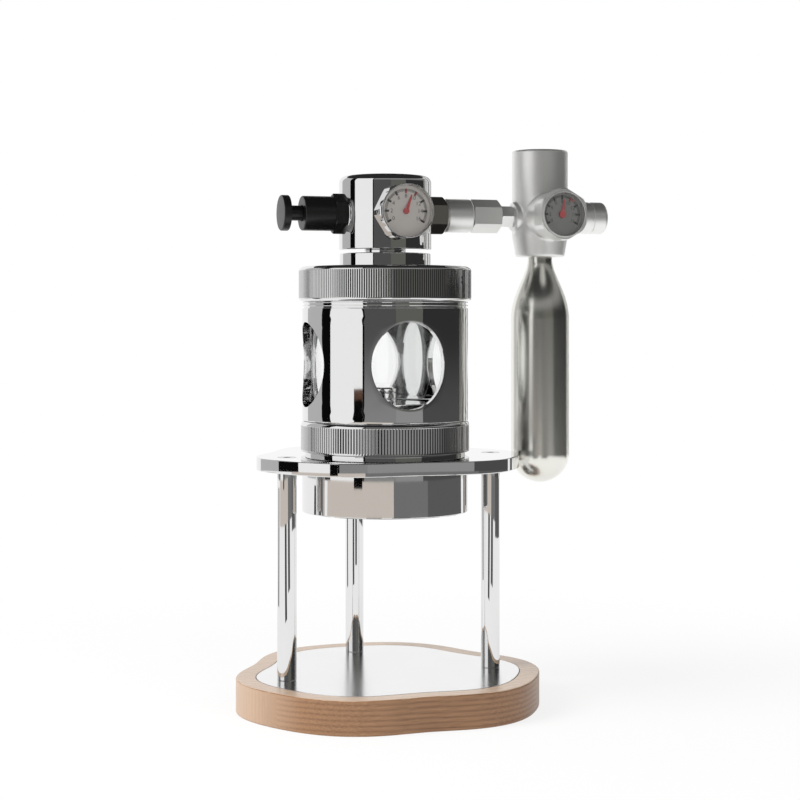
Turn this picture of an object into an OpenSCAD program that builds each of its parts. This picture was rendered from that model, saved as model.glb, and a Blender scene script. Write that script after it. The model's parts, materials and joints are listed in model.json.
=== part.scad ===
// Manual espresso machine driven by a gas cartridge.
// The origin is the centre of the base's underside, below the axis of the chamber.
// +Z is up, +X points along the gas line to the regulator, and the gauges face -Y.

/* [Base and legs] */
// Height of the wooden base
base_h = 14; // [11:0.5:20]
// Wooden rim round the steel inlay
rim_w = 8.4; // [6:0.1:12]
// Thickness of the steel inlay
inlay_t = 2.5; // [1.5:0.1:3.5]
// Mean width of the lobed plate outside the circle that the legs stand on
lobe_margin = 8.9; // [8:0.1:13]
// How far the three lobes swing in and out of the mean radius
lobe_swing = 3.55; // [2:0.05:4.5]
// How far the ends of the lobes are flattened
lobe_flat = 1.5; // [0.5:0.05:2]
// Radius of a leg
leg_r = 4; // [3.5:0.1:5]
// Height of a leg between base and top plate
leg_h = 85.3; // [70:0.1:110]
// Distance from the sleeve's wall to the axis of a leg
leg_offset = 10.2; // [8:0.1:12]
// Angle from the rear leg to each front leg
leg_spread = 99.5; // [90:0.5:120]
// Thickness of the top plate
plate_t = 5.4; // [5:0.1:7]

/* [Group] */
// How far the filter holder stands out from the sleeve
holder_step = 0.1; // [0:0.1:2]
// Height of the filter holder below the top plate
holder_h = 18.4; // [15:0.1:24]
// Width of the filter basket's rim
basket_rim_w = 3; // [2.4:0.1:4]
// Height of the filter basket
basket_h = 16.9; // [13:0.1:17.5]
// Wall of the filter basket
basket_wall = 0.6; // [0.5:0.1:1]
// How far the collar on the top plate lies inside the sleeve's wall
collar_step = 1.2; // [0.4:0.1:1.6]
// Height of that collar
collar_h = 1.2; // [0.8:0.1:2]

/* [Chamber] */
// How far the lower knurled ring stands out from the sleeve
lower_ring_step = 0.5; // [0.4:0.1:3]
// Height of the lower knurled ring
lower_ring_h = 12.7; // [11:0.1:15]
// Outer radius of the windowed sleeve
sleeve_r = 34.8; // [30:0.1:42]
// Height of the sleeve between its two rings
sleeve_h = 47; // [42:0.1:60]
// Wall of the sleeve
sleeve_wall = 3.5; // [2.9:0.1:4]
// Width of an oval window
window_w = 30.9; // [22:0.1:33]
// Height of an oval window
window_h = 35.1; // [24:0.1:38]
// Wall of the glass tube
glass_wall = 4.9; // [3:0.1:6]
// Height of the beaded band above the sleeve
bead_h = 2.6; // [2:0.1:4]
// How far the upper knurled ring stands out from the sleeve
upper_ring_step = 1.4; // [1:0.1:4]
// Height of the upper knurled ring
upper_ring_h = 14.6; // [13.8:0.1:18]
// Gap between the diffuser disc and the glass
diffuser_gap = 6; // [2:0.1:11]

/* [Head] */
// Radius of the collar on the lid
lid_collar_r = 19.1; // [15:0.1:22]
// Height of that collar above the upper ring
lid_collar_h = 5.5; // [4:0.1:9]
// Radius of the neck between lid and head
neck_r = 8.7; // [7.5:0.1:12]
// Height of that neck
neck_h = 1.5; // [1:0.1:4]
// Radius of the head
head_r = 19.4; // [18.8:0.1:21]
// Height of the head
head_h = 31; // [29:0.1:36]
// Rounding of the head's upper edge
head_edge_r = 3; // [0.5:0.1:4]
// Height of the gas line's axis above the head's underside
port_h = 14.9; // [14.5:0.1:16]

/* [Release valve] */
// Corner radius of the valve's hexagon
valve_hex_r = 8.4; // [7.8:0.1:8.8]
// Length of that hexagon
valve_hex_l = 4.9; // [3:0.1:6]
// Radius of the valve's barrel
valve_r = 7.2; // [5.6:0.1:7.2]
// Length of the valve's barrel
valve_l = 13.1; // [11:0.1:18]
// Radius of the pull knob
knob_r = 7.4; // [5:0.1:9]
// Thickness of the pull knob
knob_t = 3.2; // [2:0.1:5]
// Length of the bare neck between barrel and pull knob
knob_neck_l = 5.8; // [4:0.1:9]

/* [Gas line] */
// Corner radius of the inlet nut
nut_r = 7.9; // [7:0.05:8.2]
// Length of the inlet nut
nut_l = 7.5; // [7:0.1:12]
// Radius of the coupler's turning sleeve
coupler_r = 7.1; // [6:0.1:8]
// Length of the coupler's turning sleeve
coupler_l = 12.2; // [9:0.1:15]
// Corner radius of the hexagonal adapter
adapter_r = 7.15; // [6.2:0.05:8]
// Length of the hexagonal adapter
adapter_l = 12.3; // [9:0.1:15]
// Corner radius of the small hexagonal nipple
nipple_r = 4.97; // [4.4:0.01:5.6]
// Length of the nipple's hexagon
nipple_l = 5.3; // [3:0.1:6]

/* [Regulator] */
// Radius of the regulator's body
reg_r = 12; // [11.8:0.1:13]
// Height of the regulator above the gas line's axis
reg_rise = 28.6; // [27:0.1:34]
// Depth of the regulator below the gas line's axis
reg_drop = 17.1; // [16.5:0.1:20]
// Radius at the lower end of the tapered skirt
skirt_r = 10.4; // [9.4:0.1:11.4]
// Height of the tapered skirt
skirt_h = 9; // [6:0.1:10]
// Radius of the shut-off knob
shutoff_r = 6.9; // [6:0.1:9]
// Length of the shut-off knob
shutoff_l = 14.4; // [12:0.1:20]

/* [Gauges] */
// Corner radius of the front gauge's hexagon
front_hex_r = 12.2; // [11.4:0.1:13]
// Radius of the front gauge's round bezel
front_bezel_r = 11.1; // [10.4:0.1:11.4]
// Length of the front gauge
front_gauge_l = 9.8; // [8.8:0.1:12]
// Corner radius of the side gauge's hexagon
side_hex_r = 11.5; // [10.8:0.1:12.6]
// Length of the side gauge
side_gauge_l = 9.5; // [8.4:0.1:12]
// Reading of the front gauge at rest, in bar
front_reading = 9.3; // [0:0.1:16]
// Reading of the side gauge at rest, in bar
side_reading = 8.5; // [0:0.1:16]

/* [Cartridge] */
// Radius of the gas cartridge
cartridge_r = 12.5; // [11:0.1:13]
// Length of the gas cartridge
cartridge_l = 107; // [90:0.5:115]
// Wall of the gas cartridge
cartridge_wall = 1.8; // [1.2:0.1:2.5]
// Radius of the cartridge's threaded neck
cartridge_neck_r = 5.3; // [4.5:0.1:5.4]
// Height of the cartridge's sloping shoulder
shoulder_h = 25; // [15:0.5:30]

/* [Hidden] */

// Clearances
run_gap = 0.05;
slide_gap = 0.3;
face_gap = 0.1;
cut = 1;

// Lobes of the stand, sides of a hexagon and the turn between its corner and its flat
lobes = 3;
hex_sides = 6;
hex_turn = 180 / hex_sides;

// Facets of round pieces, of swept wires and of the lobed outline
round_steps = 96;
wire_sides = 6;
wire_steps = 12;
outline_steps = 96;
oval_steps = 56;

// Screws of the stand
screw_r = 2;
screw_bite = 12;
pan_head_r = 3.8;
pan_head_h = 2.8;
pan_recess_h = 4;
flat_head_r = 4;
flat_head_h = 2.2;
socket_r = 1.6;
socket_depth = 1.5;
clearance_r = 2.2;

// Stand: the legs follow the sleeve, and the lobed outline follows the legs
leg_pitch_r = sleeve_r + leg_offset;
lobe_mean_r = leg_pitch_r + lobe_margin;
plate_z = base_h + leg_h;
plate_top = plate_z + plate_t;
collar_top = plate_top + collar_h;
leg_angles = [90, 90 + leg_spread, 90 - leg_spread];

// Group body, from the top plate's hole inwards
thread_step = 1.4;
thread_r = sleeve_r - thread_step;
spigot_step = 1.4;
spigot_r = thread_r - spigot_step;
collar_r = sleeve_r - collar_step;
spigot_wall = 1.5;
groove_w = 1.8;
land_w = 4.7;
groove_h = 6.2;
land_drop = 4.5;
step_h = 2.1;
deck_h = 2.5;
groove_r = spigot_r - spigot_wall;
land_r = groove_r - groove_w;
throat_r = land_r - land_w;
groove_top = plate_z + groove_h;
land_z = groove_top - land_drop;
step_z = collar_top + step_h;
deck_z = step_z + deck_h;

// Lower ring and sleeve
lip_h = 1.4;
ring_chamfer = 1.2;
lower_ring_r = sleeve_r + lower_ring_step;
lower_ring_z = collar_top + face_gap;
sleeve_z = lower_ring_z + lower_ring_h + face_gap;
sleeve_top = sleeve_z + sleeve_h;
bead_top = sleeve_top + bead_h;
sleeve_bore_r = sleeve_r - sleeve_wall;
bead_step = 0.7;
bead_pitch = bead_h / 4;
top_thread_h = 6.6;
sleeve_end_z = bead_top + top_thread_h;

// Glass tube between its seals, below the lid's plug
glass_gap = 0.4;
glass_r = sleeve_bore_r - glass_gap;
seal_t = 1.5;
seal_inset = 0.3;
plug_h = 1.6;
flange_z = sleeve_end_z + face_gap;
plug_z = flange_z - plug_h;
glass_z = deck_z + seal_t;
glass_top = plug_z - seal_t;
glass_bore_r = glass_r - glass_wall;

// Upper ring and lid
upper_chamfer = 1.8;
upper_lip_h = 2.2;
upper_lip_w = 7.4;
upper_lip_bore_r = thread_r - upper_lip_w;
upper_ring_r = sleeve_r + upper_ring_step;
upper_ring_z = bead_top + face_gap;
upper_ring_top = upper_ring_z + upper_ring_h;
lid_flange_r = thread_r - face_gap;
lid_top = upper_ring_top - upper_lip_h - face_gap;
lid_collar_top = upper_ring_top + lid_collar_h;

// Filter holder and basket
holder_top = plate_z - face_gap;
holder_z = holder_top - holder_h;
holder_r = sleeve_r + holder_step;
holder_neck_r = groove_r - run_gap;
holder_seat_r = land_r + slide_gap;
holder_lip = 2;
holder_bore_r = holder_seat_r - holder_lip;
holder_neck_top = groove_top - 2 * face_gap;
basket_rim_gap = 0.2;
basket_rim_r = holder_seat_r - basket_rim_gap;
basket_r = basket_rim_r - basket_rim_w;
basket_rim_t = 1.2;
gasket_t = 2.5;
gasket_r = land_r - face_gap;
gasket_inset = 0.6;
gasket_bore_r = throat_r + gasket_inset;
basket_rim_top = land_z - gasket_t - face_gap;
basket_seat_z = basket_rim_top - basket_rim_t;
basket_z = basket_rim_top - basket_h;
basket_hole_r = 0.6;
basket_hole_rings = 5;
basket_margin_share = 1.45;
basket_hole_pitch = basket_r / (basket_hole_rings + basket_margin_share);

// Spray screen, block and diffuser
screen_lap = 0.4;
screen_r = throat_r + screen_lap;
screen_t = 1.2;
screen_hole_r = 0.8;
screen_hole_rings = 4;
screen_margin_share = 0.8;
screen_hole_pitch = throat_r / (screen_hole_rings + screen_margin_share);
block_t = 5;
block_hole_r = 1.8;
block_pitch_share = 0.58;
block_hole_pitch_r = throat_r * block_pitch_share;
block_holes = 8;
post_r = 3.8;
post_tip_r = 2.5;
post_tip_h = 5.4;
diffuser_r = glass_bore_r - diffuser_gap;
diffuser_rise = 5.8;
diffuser_t = 1.6;
diffuser_z = sleeve_z + diffuser_rise;
hub_r = 4.6;
hub_h = 6.4;
hub_groove = 0.6;
hub_band = hub_h / 5;
spray_head_r = 3.6;
spray_head_t = 1.2;
spray_bite = 4;

// Neck and head
neck_z = lid_collar_top;
head_z = neck_z + neck_h;
port_z = head_z + port_h;
stem_r = 6;
stem_bite = 8;
stem_low_bite = 10.4;
gas_r = 2;
gallery_r = 3;
port_r = 5;
port_end = 10;

// Release valve, measured outwards along -X
seat_ring_r = 8.9;
seat_ring_t = 1.2;
seat_floor = 17;
valve_x = seat_floor + seat_ring_t;
valve_root = port_end + 1;
valve_bore_r = 3.9;
orifice_r = 2.5;
orifice_l = 2;
valve_barrel_x = valve_x + valve_hex_l;
valve_end = valve_barrel_x + valve_l;
end_wall = 3.2;
knob_neck_r = 3.15;
knob_x = valve_end + knob_neck_l;
poppet_r = 3.6;
poppet_l = 2.5;
stem_thin_r = 1.6;
valve_coil_r = 3.35;
valve_wire_r = 0.35;
valve_turns = 9;
poppet_x = valve_root + orifice_l;
poppet_end = poppet_x + poppet_l;
spring_end_x = valve_end - end_wall;

// Gas line, measured outwards along +X
nut_x = 18.2;
nut_face_r = 8.3;
nut_end = nut_x + nut_l;
tail_r = 4.5;
coupler_x = nut_end + face_gap;
coupler_chamfer = 0.8;
adapter_x = coupler_x + coupler_l + face_gap;
tail_bite = 4.8;
tail_end = adapter_x + tail_bite;
adapter_end = adapter_x + adapter_l;
nipple_neck_r = 3.9;
nipple_neck_l = 0.7;
nipple_thread_r = 3;
nipple_bite = 5;
nipple_end = adapter_end + nipple_l + 2 * nipple_neck_l;

// Regulator
inlet_boss_r = 6.2;
inlet_boss_l = 1;
reg_spot = reg_r + inlet_boss_l;
reg_x = nipple_end + reg_spot;
reg_z = port_z - reg_drop;
reg_top = port_z + reg_rise;
reg_edge = 0.6;
socket_bore_r = cartridge_neck_r + slide_gap;
neck_grip = 10;
neck_show = 2;
cartridge_top = reg_z + neck_grip;
pin_seal_t = 1.4;
pin_plate_t = 3;
pin_plate_z = cartridge_top + face_gap + pin_seal_t;
pin_r = 1;
pin_tip = 1.2;
pin_hole_r = 0.45;
chamber_r = 8.5;
piston_rise = 8.8;
piston_z = port_z + piston_rise;
piston_t = 3;
cap_t = 4.2;
cap_r = 10;
cap_z = reg_top - cap_t;
plate_disc_r = 7.5;
plate_disc_t = 1.6;
adjust_r = 3;
adjust_drop = 1.8;
spring_plate_z = cap_z - adjust_drop - plate_disc_t;
main_coil_r = 5.8;
main_wire_r = 0.7;
main_turns = 5;
boss_r = 9.8;
boss_l = 18;
side_boss_r = 5.5;
side_boss_l = 15;
side_stem_l = 5;
shutoff_edge = 1.6;

// Gauges, measured from the back of the case to the front
dial_inset = 4;
dial_t = 0.6;
lens_t = 1;
lens_inset = 0.3;
dial_wall = 1.0;
works_r = 7;
works_depth = 3;
needle_t = 0.35;
needle_lift = 0.5;
needle_l_share = 0.74;
tail_l_share = 0.2;
needle_w = 1;
needle_hub_r = 1.3;
arbor_r = 0.45;
arbor_l = 1.6;
gauge_stem_r = 4.4;
gauge_span = 240;
gauge_full = 16;
tube_r = 0.7;
tube_bend_r = works_r - 3 * tube_r;
tube_sweep = 240;
hex_trim_share = 0.955;
front_hex_share = 0.85;
front_hex_turn = 3;
front_neck_l = 2;
bezel_lip = 0.4;
side_rim = 1.3;
front_dial_r = front_bezel_r - dial_wall;
front_hex_l = front_gauge_l * front_hex_share;
side_dial_r = side_hex_r * cos(hex_turn) - side_rim;

// Gas cartridge
cartridge_z = cartridge_top - cartridge_l;
shoulder_z = reg_z - neck_show - shoulder_h;
shoulder_steps = 12;
shoulder_share = 0.78;

// Outline of inlay, plate and base: three lobes, one of them at the rear
function lobe_radius(a) =
    lobe_mean_r + lobe_swing * cos(lobes * (a - 90)) - lobe_flat * cos(2 * lobes * (a - 90));
function lobe_slope(a) =
    lobes * (2 * lobe_flat * sin(2 * lobes * (a - 90)) - lobe_swing * sin(lobes * (a - 90)));
function lobe_point(a, grow) =
    let (r = lobe_radius(a), s = lobe_slope(a), n = sqrt(r * r + s * s))
    [
        r * cos(a) + grow * (r * cos(a) + s * sin(a)) / n,
        r * sin(a) + grow * (r * sin(a) - s * cos(a)) / n
    ];

module lobed_slab(h, grow = 0) {
    linear_extrude(h)
        polygon([for (i = [0:outline_steps - 1]) lobe_point(i * 360 / outline_steps, grow)]);
}

// Round solids
module rod(r, h) {
    cylinder(r = r, h = h, $fn = round_steps);
}

module bore(r, h) {
    translate([0, 0, -cut])
        rod(r, h + 2 * cut);
}

module ring(r, hole_r, h) {
    difference() {
        rod(r, h);
        bore(hole_r, h);
    }
}

module turned(points) {
    rotate_extrude($fn = round_steps)
        polygon(points);
}

module hex(r, h) {
    cylinder(r = r, h = h, $fn = hex_sides);
}

// Frames of the gas line: local +Z runs outwards from the chamber's axis
module along_left() {
    translate([0, 0, port_z])
        rotate([0, -90, 0])
            children();
}

module along_right() {
    translate([0, 0, port_z])
        rotate([0, 90, 0])
            children();
}

module along_front() {
    translate([0, 0, port_z])
        rotate([90, 0, 0])
            children();
}

module at_regulator() {
    translate([reg_x, 0, 0])
        children();
}

module at_legs() {
    for (a = leg_angles)
        rotate([0, 0, a])
            translate([leg_pitch_r, 0, 0])
                children();
}

// Holes in rings about the axis, one at the centre and six more in each ring
module hole_field(r, h, pitch, rings, first = 0) {
    for (k = [first:rings])
        for (j = [0:max(1, hex_sides * k) - 1])
            rotate([0, 0, j * 360 / max(1, hex_sides * k)])
                translate([k * pitch, 0, 0])
                    bore(r, h);
}

// Helical spring along +Z, swept as one unbroken wire
function coil_point(t, coil_r, wire_r, turns, length, side) =
    let (
        a = 360 * turns * t,
        q = 360 * side / wire_sides,
        r = coil_r + wire_r * cos(q),
        z = wire_r + (length - 2 * wire_r) * t + wire_r * sin(q)
    )
    [r * cos(a), r * sin(a), z];

module coil_spring(coil_r, wire_r, turns, length) {
    rings = turns * wire_steps;
    points = [
        for (i = [0:rings])
            for (s = [0:wire_sides - 1])
                coil_point(i / rings, coil_r, wire_r, turns, length, s)
    ];
    walls = [
        for (i = [0:rings - 1])
            for (s = [0:wire_sides - 1])
                for (half = [0, 1])
                    let (
                        a = i * wire_sides + s,
                        b = i * wire_sides + (s + 1) % wire_sides
                    )
                    half == 0
                        ? [a, a + wire_sides, b]
                        : [b, a + wire_sides, b + wire_sides]
    ];
    start = [[for (s = [0:wire_sides - 1]) s]];
    finish = [[for (s = [wire_sides - 1:-1:0]) rings * wire_sides + s]];
    polyhedron(points, concat(walls, start, finish));
}

// Base and legs
module wood_base() {
    color("burlywood")
        difference() {
            lobed_slab(base_h, rim_w);
            translate([0, 0, base_h - inlay_t])
                lobed_slab(inlay_t + cut, run_gap);
            at_legs() {
                bore(clearance_r, base_h);
                translate([0, 0, -cut])
                    rod(pan_head_r + slide_gap, pan_recess_h + cut);
            }
        }
}

module base_inlay() {
    color("gainsboro")
        translate([0, 0, base_h - inlay_t])
            difference() {
                lobed_slab(inlay_t);
                at_legs()
                    bore(clearance_r, inlay_t);
            }
}

module leg(angle) {
    color("silver")
        rotate([0, 0, angle])
            translate([leg_pitch_r, 0, base_h])
                difference() {
                    rod(leg_r, leg_h);
                    translate([0, 0, -cut])
                        rod(screw_r + run_gap, screw_bite + 2 * cut);
                    translate([0, 0, leg_h - screw_bite - cut])
                        rod(screw_r + run_gap, screw_bite + 2 * cut);
                }
}

module rear_leg() {
    leg(leg_angles[0]);
}

module left_leg() {
    leg(leg_angles[1]);
}

module right_leg() {
    leg(leg_angles[2]);
}

module base_screws() {
    color("dimgray")
        at_legs()
            difference() {
                union() {
                    translate([0, 0, pan_recess_h - pan_head_h])
                        rod(pan_head_r, pan_head_h);
                    translate([0, 0, pan_recess_h])
                        rod(screw_r, base_h - pan_recess_h + screw_bite);
                }
                translate([0, 0, pan_recess_h - pan_head_h - cut])
                    hex(socket_r, socket_depth + cut);
            }
}

module flat_head(gap) {
    turned([
        [0, plate_top + gap],
        [flat_head_r + gap, plate_top + gap],
        [screw_r + gap, plate_top - flat_head_h],
        [0, plate_top - flat_head_h]
    ]);
}

module plate_screws() {
    color("silver")
        at_legs()
            difference() {
                union() {
                    flat_head(0);
                    translate([0, 0, plate_z - screw_bite])
                        rod(screw_r, plate_t + screw_bite - flat_head_h);
                }
                translate([0, 0, plate_top - socket_depth])
                    hex(socket_r, socket_depth + cut);
            }
}

module top_plate() {
    color("silver")
        difference() {
            translate([0, 0, plate_z])
                lobed_slab(plate_t);
            translate([0, 0, plate_z])
                bore(spigot_r + run_gap, plate_t);
            at_legs() {
                flat_head(run_gap);
                translate([0, 0, plate_z])
                    bore(screw_r + run_gap, plate_t);
            }
        }
}

// Group, which screws into the top plate
module group_body() {
    color("silver")
        turned([
            [throat_r, land_z],
            [land_r, land_z],
            [land_r, groove_top],
            [groove_r, groove_top],
            [groove_r, plate_z],
            [spigot_r, plate_z],
            [spigot_r, plate_top],
            [collar_r, plate_top],
            [collar_r, collar_top],
            [spigot_r, collar_top],
            [spigot_r, step_z],
            [sleeve_bore_r - run_gap, step_z],
            [sleeve_bore_r - run_gap, deck_z],
            [throat_r, deck_z]
        ]);
}

module group_gasket() {
    color("dimgray")
        translate([0, 0, land_z - gasket_t])
            ring(gasket_r, gasket_bore_r, gasket_t);
}

module spray_screen() {
    color("silver")
        translate([0, 0, land_z - screen_t])
            difference() {
                rod(screen_r, screen_t);
                bore(screw_r + run_gap, screen_t);
                hole_field(screen_hole_r, screen_t, screen_hole_pitch, screen_hole_rings, 1);
            }
}

module spray_screw() {
    color("dimgray")
        translate([0, 0, land_z - screen_t])
            difference() {
                union() {
                    translate([0, 0, -spray_head_t])
                        rod(spray_head_r, spray_head_t);
                    rod(screw_r, screen_t + spray_bite - face_gap);
                }
                translate([0, 0, -spray_head_t - cut])
                    hex(socket_r, socket_depth / 2 + cut);
            }
}

module spray_block() {
    color("silver")
        translate([0, 0, land_z])
            difference() {
                union() {
                    rod(throat_r - run_gap, block_t);
                    rod(post_r, diffuser_z - land_z);
                    rod(post_tip_r, diffuser_z - land_z + diffuser_t + post_tip_h);
                }
                translate([0, 0, -cut])
                    rod(screw_r + run_gap, spray_bite + cut);
                for (i = [0:block_holes - 1])
                    rotate([0, 0, i * 360 / block_holes])
                        translate([block_hole_pitch_r, 0, 0])
                            bore(block_hole_r, block_t);
            }
}

module diffuser_disc() {
    color("silver")
        translate([0, 0, diffuser_z])
            ring(diffuser_r, post_tip_r + run_gap, diffuser_t);
}

module diffuser_hub() {
    color("silver")
        translate([0, 0, diffuser_z + diffuser_t])
            turned([
                [post_tip_r + run_gap, 0],
                [hub_r, 0],
                [hub_r, hub_band],
                [hub_r - hub_groove, hub_band + hub_groove / 2],
                [hub_r, hub_band + hub_groove],
                [hub_r, 3 * hub_band],
                [hub_r - hub_groove, 3 * hub_band + hub_groove / 2],
                [hub_r, 3 * hub_band + hub_groove],
                [hub_r, hub_h - hub_groove],
                [hub_r - hub_groove, hub_h],
                [0, hub_h],
                [0, post_tip_h + face_gap],
                [post_tip_r + run_gap, post_tip_h + face_gap]
            ]);
}

module lower_seal() {
    color("dimgray")
        translate([0, 0, deck_z])
            ring(glass_r - seal_inset, glass_bore_r + seal_inset, seal_t);
}

// Chamber
module glass_tube() {
    color("lightcyan", 0.4)
        translate([0, 0, glass_z])
            ring(glass_r, glass_bore_r, glass_top - glass_z);
}

module chamber_sleeve() {
    color("silver")
        difference() {
            turned([
                [sleeve_bore_r, step_z],
                [thread_r, step_z],
                [thread_r, sleeve_z],
                [sleeve_r, sleeve_z],
                [sleeve_r, sleeve_top],
                [sleeve_r - bead_step, sleeve_top],
                [sleeve_r - bead_step, sleeve_top + bead_pitch],
                [sleeve_r, sleeve_top + bead_pitch],
                [sleeve_r, sleeve_top + 2 * bead_pitch],
                [sleeve_r - bead_step, sleeve_top + 2 * bead_pitch],
                [sleeve_r - bead_step, sleeve_top + 3 * bead_pitch],
                [sleeve_r, sleeve_top + 3 * bead_pitch],
                [sleeve_r, bead_top],
                [thread_r, bead_top],
                [thread_r, sleeve_end_z],
                [sleeve_bore_r, sleeve_end_z]
            ]);
            translate([0, 0, sleeve_z + sleeve_h / 2])
                for (a = [0:90:270])
                    rotate([0, 0, a])
                        rotate([90, 0, 0])
                            translate([0, 0, sleeve_r / 2])
                                linear_extrude(sleeve_r)
                                    polygon([
                                        for (i = [0:oval_steps - 1])
                                            [
                                                window_w / 2 * cos(i * 360 / oval_steps),
                                                window_h / 2 * sin(i * 360 / oval_steps)
                                            ]
                                    ]);
        }
}

module lower_ring() {
    color("silver")
        turned([
            [spigot_r + slide_gap, lower_ring_z],
            [lower_ring_r, lower_ring_z],
            [lower_ring_r, lower_ring_z + lower_ring_h - ring_chamfer],
            [lower_ring_r - ring_chamfer / 2, lower_ring_z + lower_ring_h],
            [thread_r + slide_gap, lower_ring_z + lower_ring_h],
            [thread_r + slide_gap, lower_ring_z + lip_h],
            [spigot_r + slide_gap, lower_ring_z + lip_h]
        ]);
}

// Filter holder, which screws up into the group
module filter_holder() {
    color("silver")
        turned([
            [holder_bore_r, holder_z],
            [holder_r, holder_z],
            [holder_r, holder_top],
            [holder_neck_r, holder_top],
            [holder_neck_r, holder_neck_top],
            [holder_seat_r, holder_neck_top],
            [holder_seat_r, basket_seat_z],
            [holder_bore_r, basket_seat_z]
        ]);
}

module filter_basket() {
    color("gainsboro")
        translate([0, 0, basket_z])
            difference() {
                union() {
                    rod(basket_r, basket_h);
                    translate([0, 0, basket_h - basket_rim_t])
                        rod(basket_rim_r, basket_rim_t);
                }
                translate([0, 0, basket_wall])
                    rod(basket_r - basket_wall, basket_h);
                hole_field(basket_hole_r, basket_wall, basket_hole_pitch, basket_hole_rings);
            }
}

// Lid and upper ring
module upper_ring() {
    color("silver")
        turned([
            [thread_r + slide_gap, upper_ring_z],
            [upper_ring_r - upper_chamfer / 2, upper_ring_z],
            [upper_ring_r, upper_ring_z + upper_chamfer / 2],
            [upper_ring_r, upper_ring_top - upper_chamfer],
            [upper_ring_r - upper_chamfer, upper_ring_top],
            [upper_lip_bore_r, upper_ring_top],
            [upper_lip_bore_r, upper_ring_top - upper_lip_h],
            [thread_r + slide_gap, upper_ring_top - upper_lip_h]
        ]);
}

module upper_seal() {
    color("dimgray")
        translate([0, 0, glass_top])
            ring(glass_r - seal_inset, glass_bore_r + seal_inset, seal_t);
}

module chamber_lid() {
    color("silver")
        turned([
            [gas_r, plug_z],
            [glass_r, plug_z],
            [glass_r, flange_z],
            [lid_flange_r, flange_z],
            [lid_flange_r, lid_top],
            [lid_collar_r, lid_top],
            [lid_collar_r, lid_collar_top],
            [stem_r + run_gap, lid_collar_top],
            [stem_r + run_gap, lid_collar_top - stem_low_bite - face_gap],
            [gas_r, lid_collar_top - stem_low_bite - face_gap]
        ]);
}

// Head
module head_stem() {
    color("silver")
        turned([
            [gas_r, neck_z - stem_low_bite],
            [stem_r, neck_z - stem_low_bite],
            [stem_r, neck_z],
            [neck_r, neck_z],
            [neck_r, head_z],
            [stem_r, head_z],
            [stem_r, head_z + stem_bite],
            [gas_r, head_z + stem_bite]
        ]);
}

module head_body() {
    color("silver")
        difference() {
            translate([0, 0, head_z])
                rotate_extrude($fn = round_steps) {
                    square([head_r, head_h - head_edge_r]);
                    square([head_r - head_edge_r, head_h]);
                    intersection() {
                        translate([head_r - head_edge_r, head_h - head_edge_r])
                            circle(head_edge_r, $fn = round_steps);
                        translate([0, head_h - 2 * head_edge_r])
                            square([head_r, 2 * head_edge_r]);
                    }
                }
            translate([0, 0, head_z - cut])
                rod(stem_r + run_gap, stem_bite + face_gap + cut);
            translate([0, 0, head_z])
                rod(gallery_r, port_h);
            along_left() {
                rod(gallery_r, head_r);
                translate([0, 0, port_end])
                    rod(port_r + run_gap, head_r);
                translate([0, 0, seat_floor])
                    rod(seat_ring_r + run_gap, head_r);
            }
            along_right() {
                rod(gallery_r, head_r);
                translate([0, 0, port_end])
                    rod(port_r + run_gap, head_r);
                translate([0, 0, nut_x])
                    rod(nut_face_r, head_r);
            }
            along_front() {
                rod(gas_r, head_r);
                translate([0, 0, port_end])
                    rod(gauge_stem_r + run_gap, head_r);
            }
        }
}

// Gauges: local +Z points out of the dial, and the back of the case is at 0
module gauge_case(hex_r, bezel_r, dial_r, length, hex_l, stem_l, turn) {
    difference() {
        union() {
            intersection() {
                rotate([0, 0, turn])
                    hex(hex_r, hex_l);
                rod(hex_r * hex_trim_share, hex_l);
            }
            translate([0, 0, hex_l - face_gap])
                rod(bezel_r, length - hex_l + face_gap);
            translate([0, 0, -stem_l])
                rod(gauge_stem_r, stem_l);
        }
        translate([0, 0, length - dial_inset])
            rod(dial_r + dial_wall / 2, dial_inset + cut);
        translate([0, 0, length - dial_inset - works_depth])
            rod(works_r, works_depth + cut);
        translate([0, 0, -stem_l - cut])
            rod(pin_r, stem_l + length - dial_inset - works_depth + 2 * cut);
    }
}

module gauge_tube(length) {
    translate([0, 0, length - dial_inset - works_depth]) {
        translate([0, 0, works_depth / 2])
            rotate([0, 0, -90])
                rotate_extrude(angle = tube_sweep, $fn = round_steps)
                    translate([tube_bend_r, 0])
                        circle(tube_r, $fn = round_steps);
        translate([0, -tube_bend_r, 0])
            rod(tube_r, works_depth / 2);
    }
}

module gauge_dial(dial_r, length) {
    translate([0, 0, length - dial_inset])
        ring(dial_r, arbor_r + face_gap, dial_t);
}

function gauge_angle(reading) =
    90 + gauge_span / 2 - gauge_span * reading / gauge_full;

module gauge_needle(dial_r, length, reading) {
    translate([0, 0, length - dial_inset + dial_t + needle_lift])
        rotate([0, 0, gauge_angle(reading)]) {
            linear_extrude(needle_t)
                polygon([
                    [-dial_r * tail_l_share, -needle_w / 2],
                    [0, -needle_w / 2],
                    [dial_r * needle_l_share, -needle_w / 8],
                    [dial_r * needle_l_share, needle_w / 8],
                    [0, needle_w / 2],
                    [-dial_r * tail_l_share, needle_w / 2]
                ]);
            rod(needle_hub_r, needle_t + face_gap);
            translate([0, 0, needle_t - arbor_l])
                rod(arbor_r, arbor_l);
        }
}

module gauge_lens(dial_r, length) {
    translate([0, 0, length - lens_inset - lens_t])
        rod(dial_r + dial_wall / 2 - run_gap, lens_t);
}

module at_front_gauge() {
    along_front()
        translate([0, 0, head_r + front_neck_l + run_gap])
            children();
}

module at_side_gauge() {
    at_regulator()
        along_front()
            translate([0, 0, boss_l])
                children();
}

module front_gauge_case() {
    color("silver")
        at_front_gauge()
            gauge_case(front_hex_r, front_bezel_r, front_dial_r, front_gauge_l,
                front_hex_l, head_r + front_neck_l - port_end, front_hex_turn);
}

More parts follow.
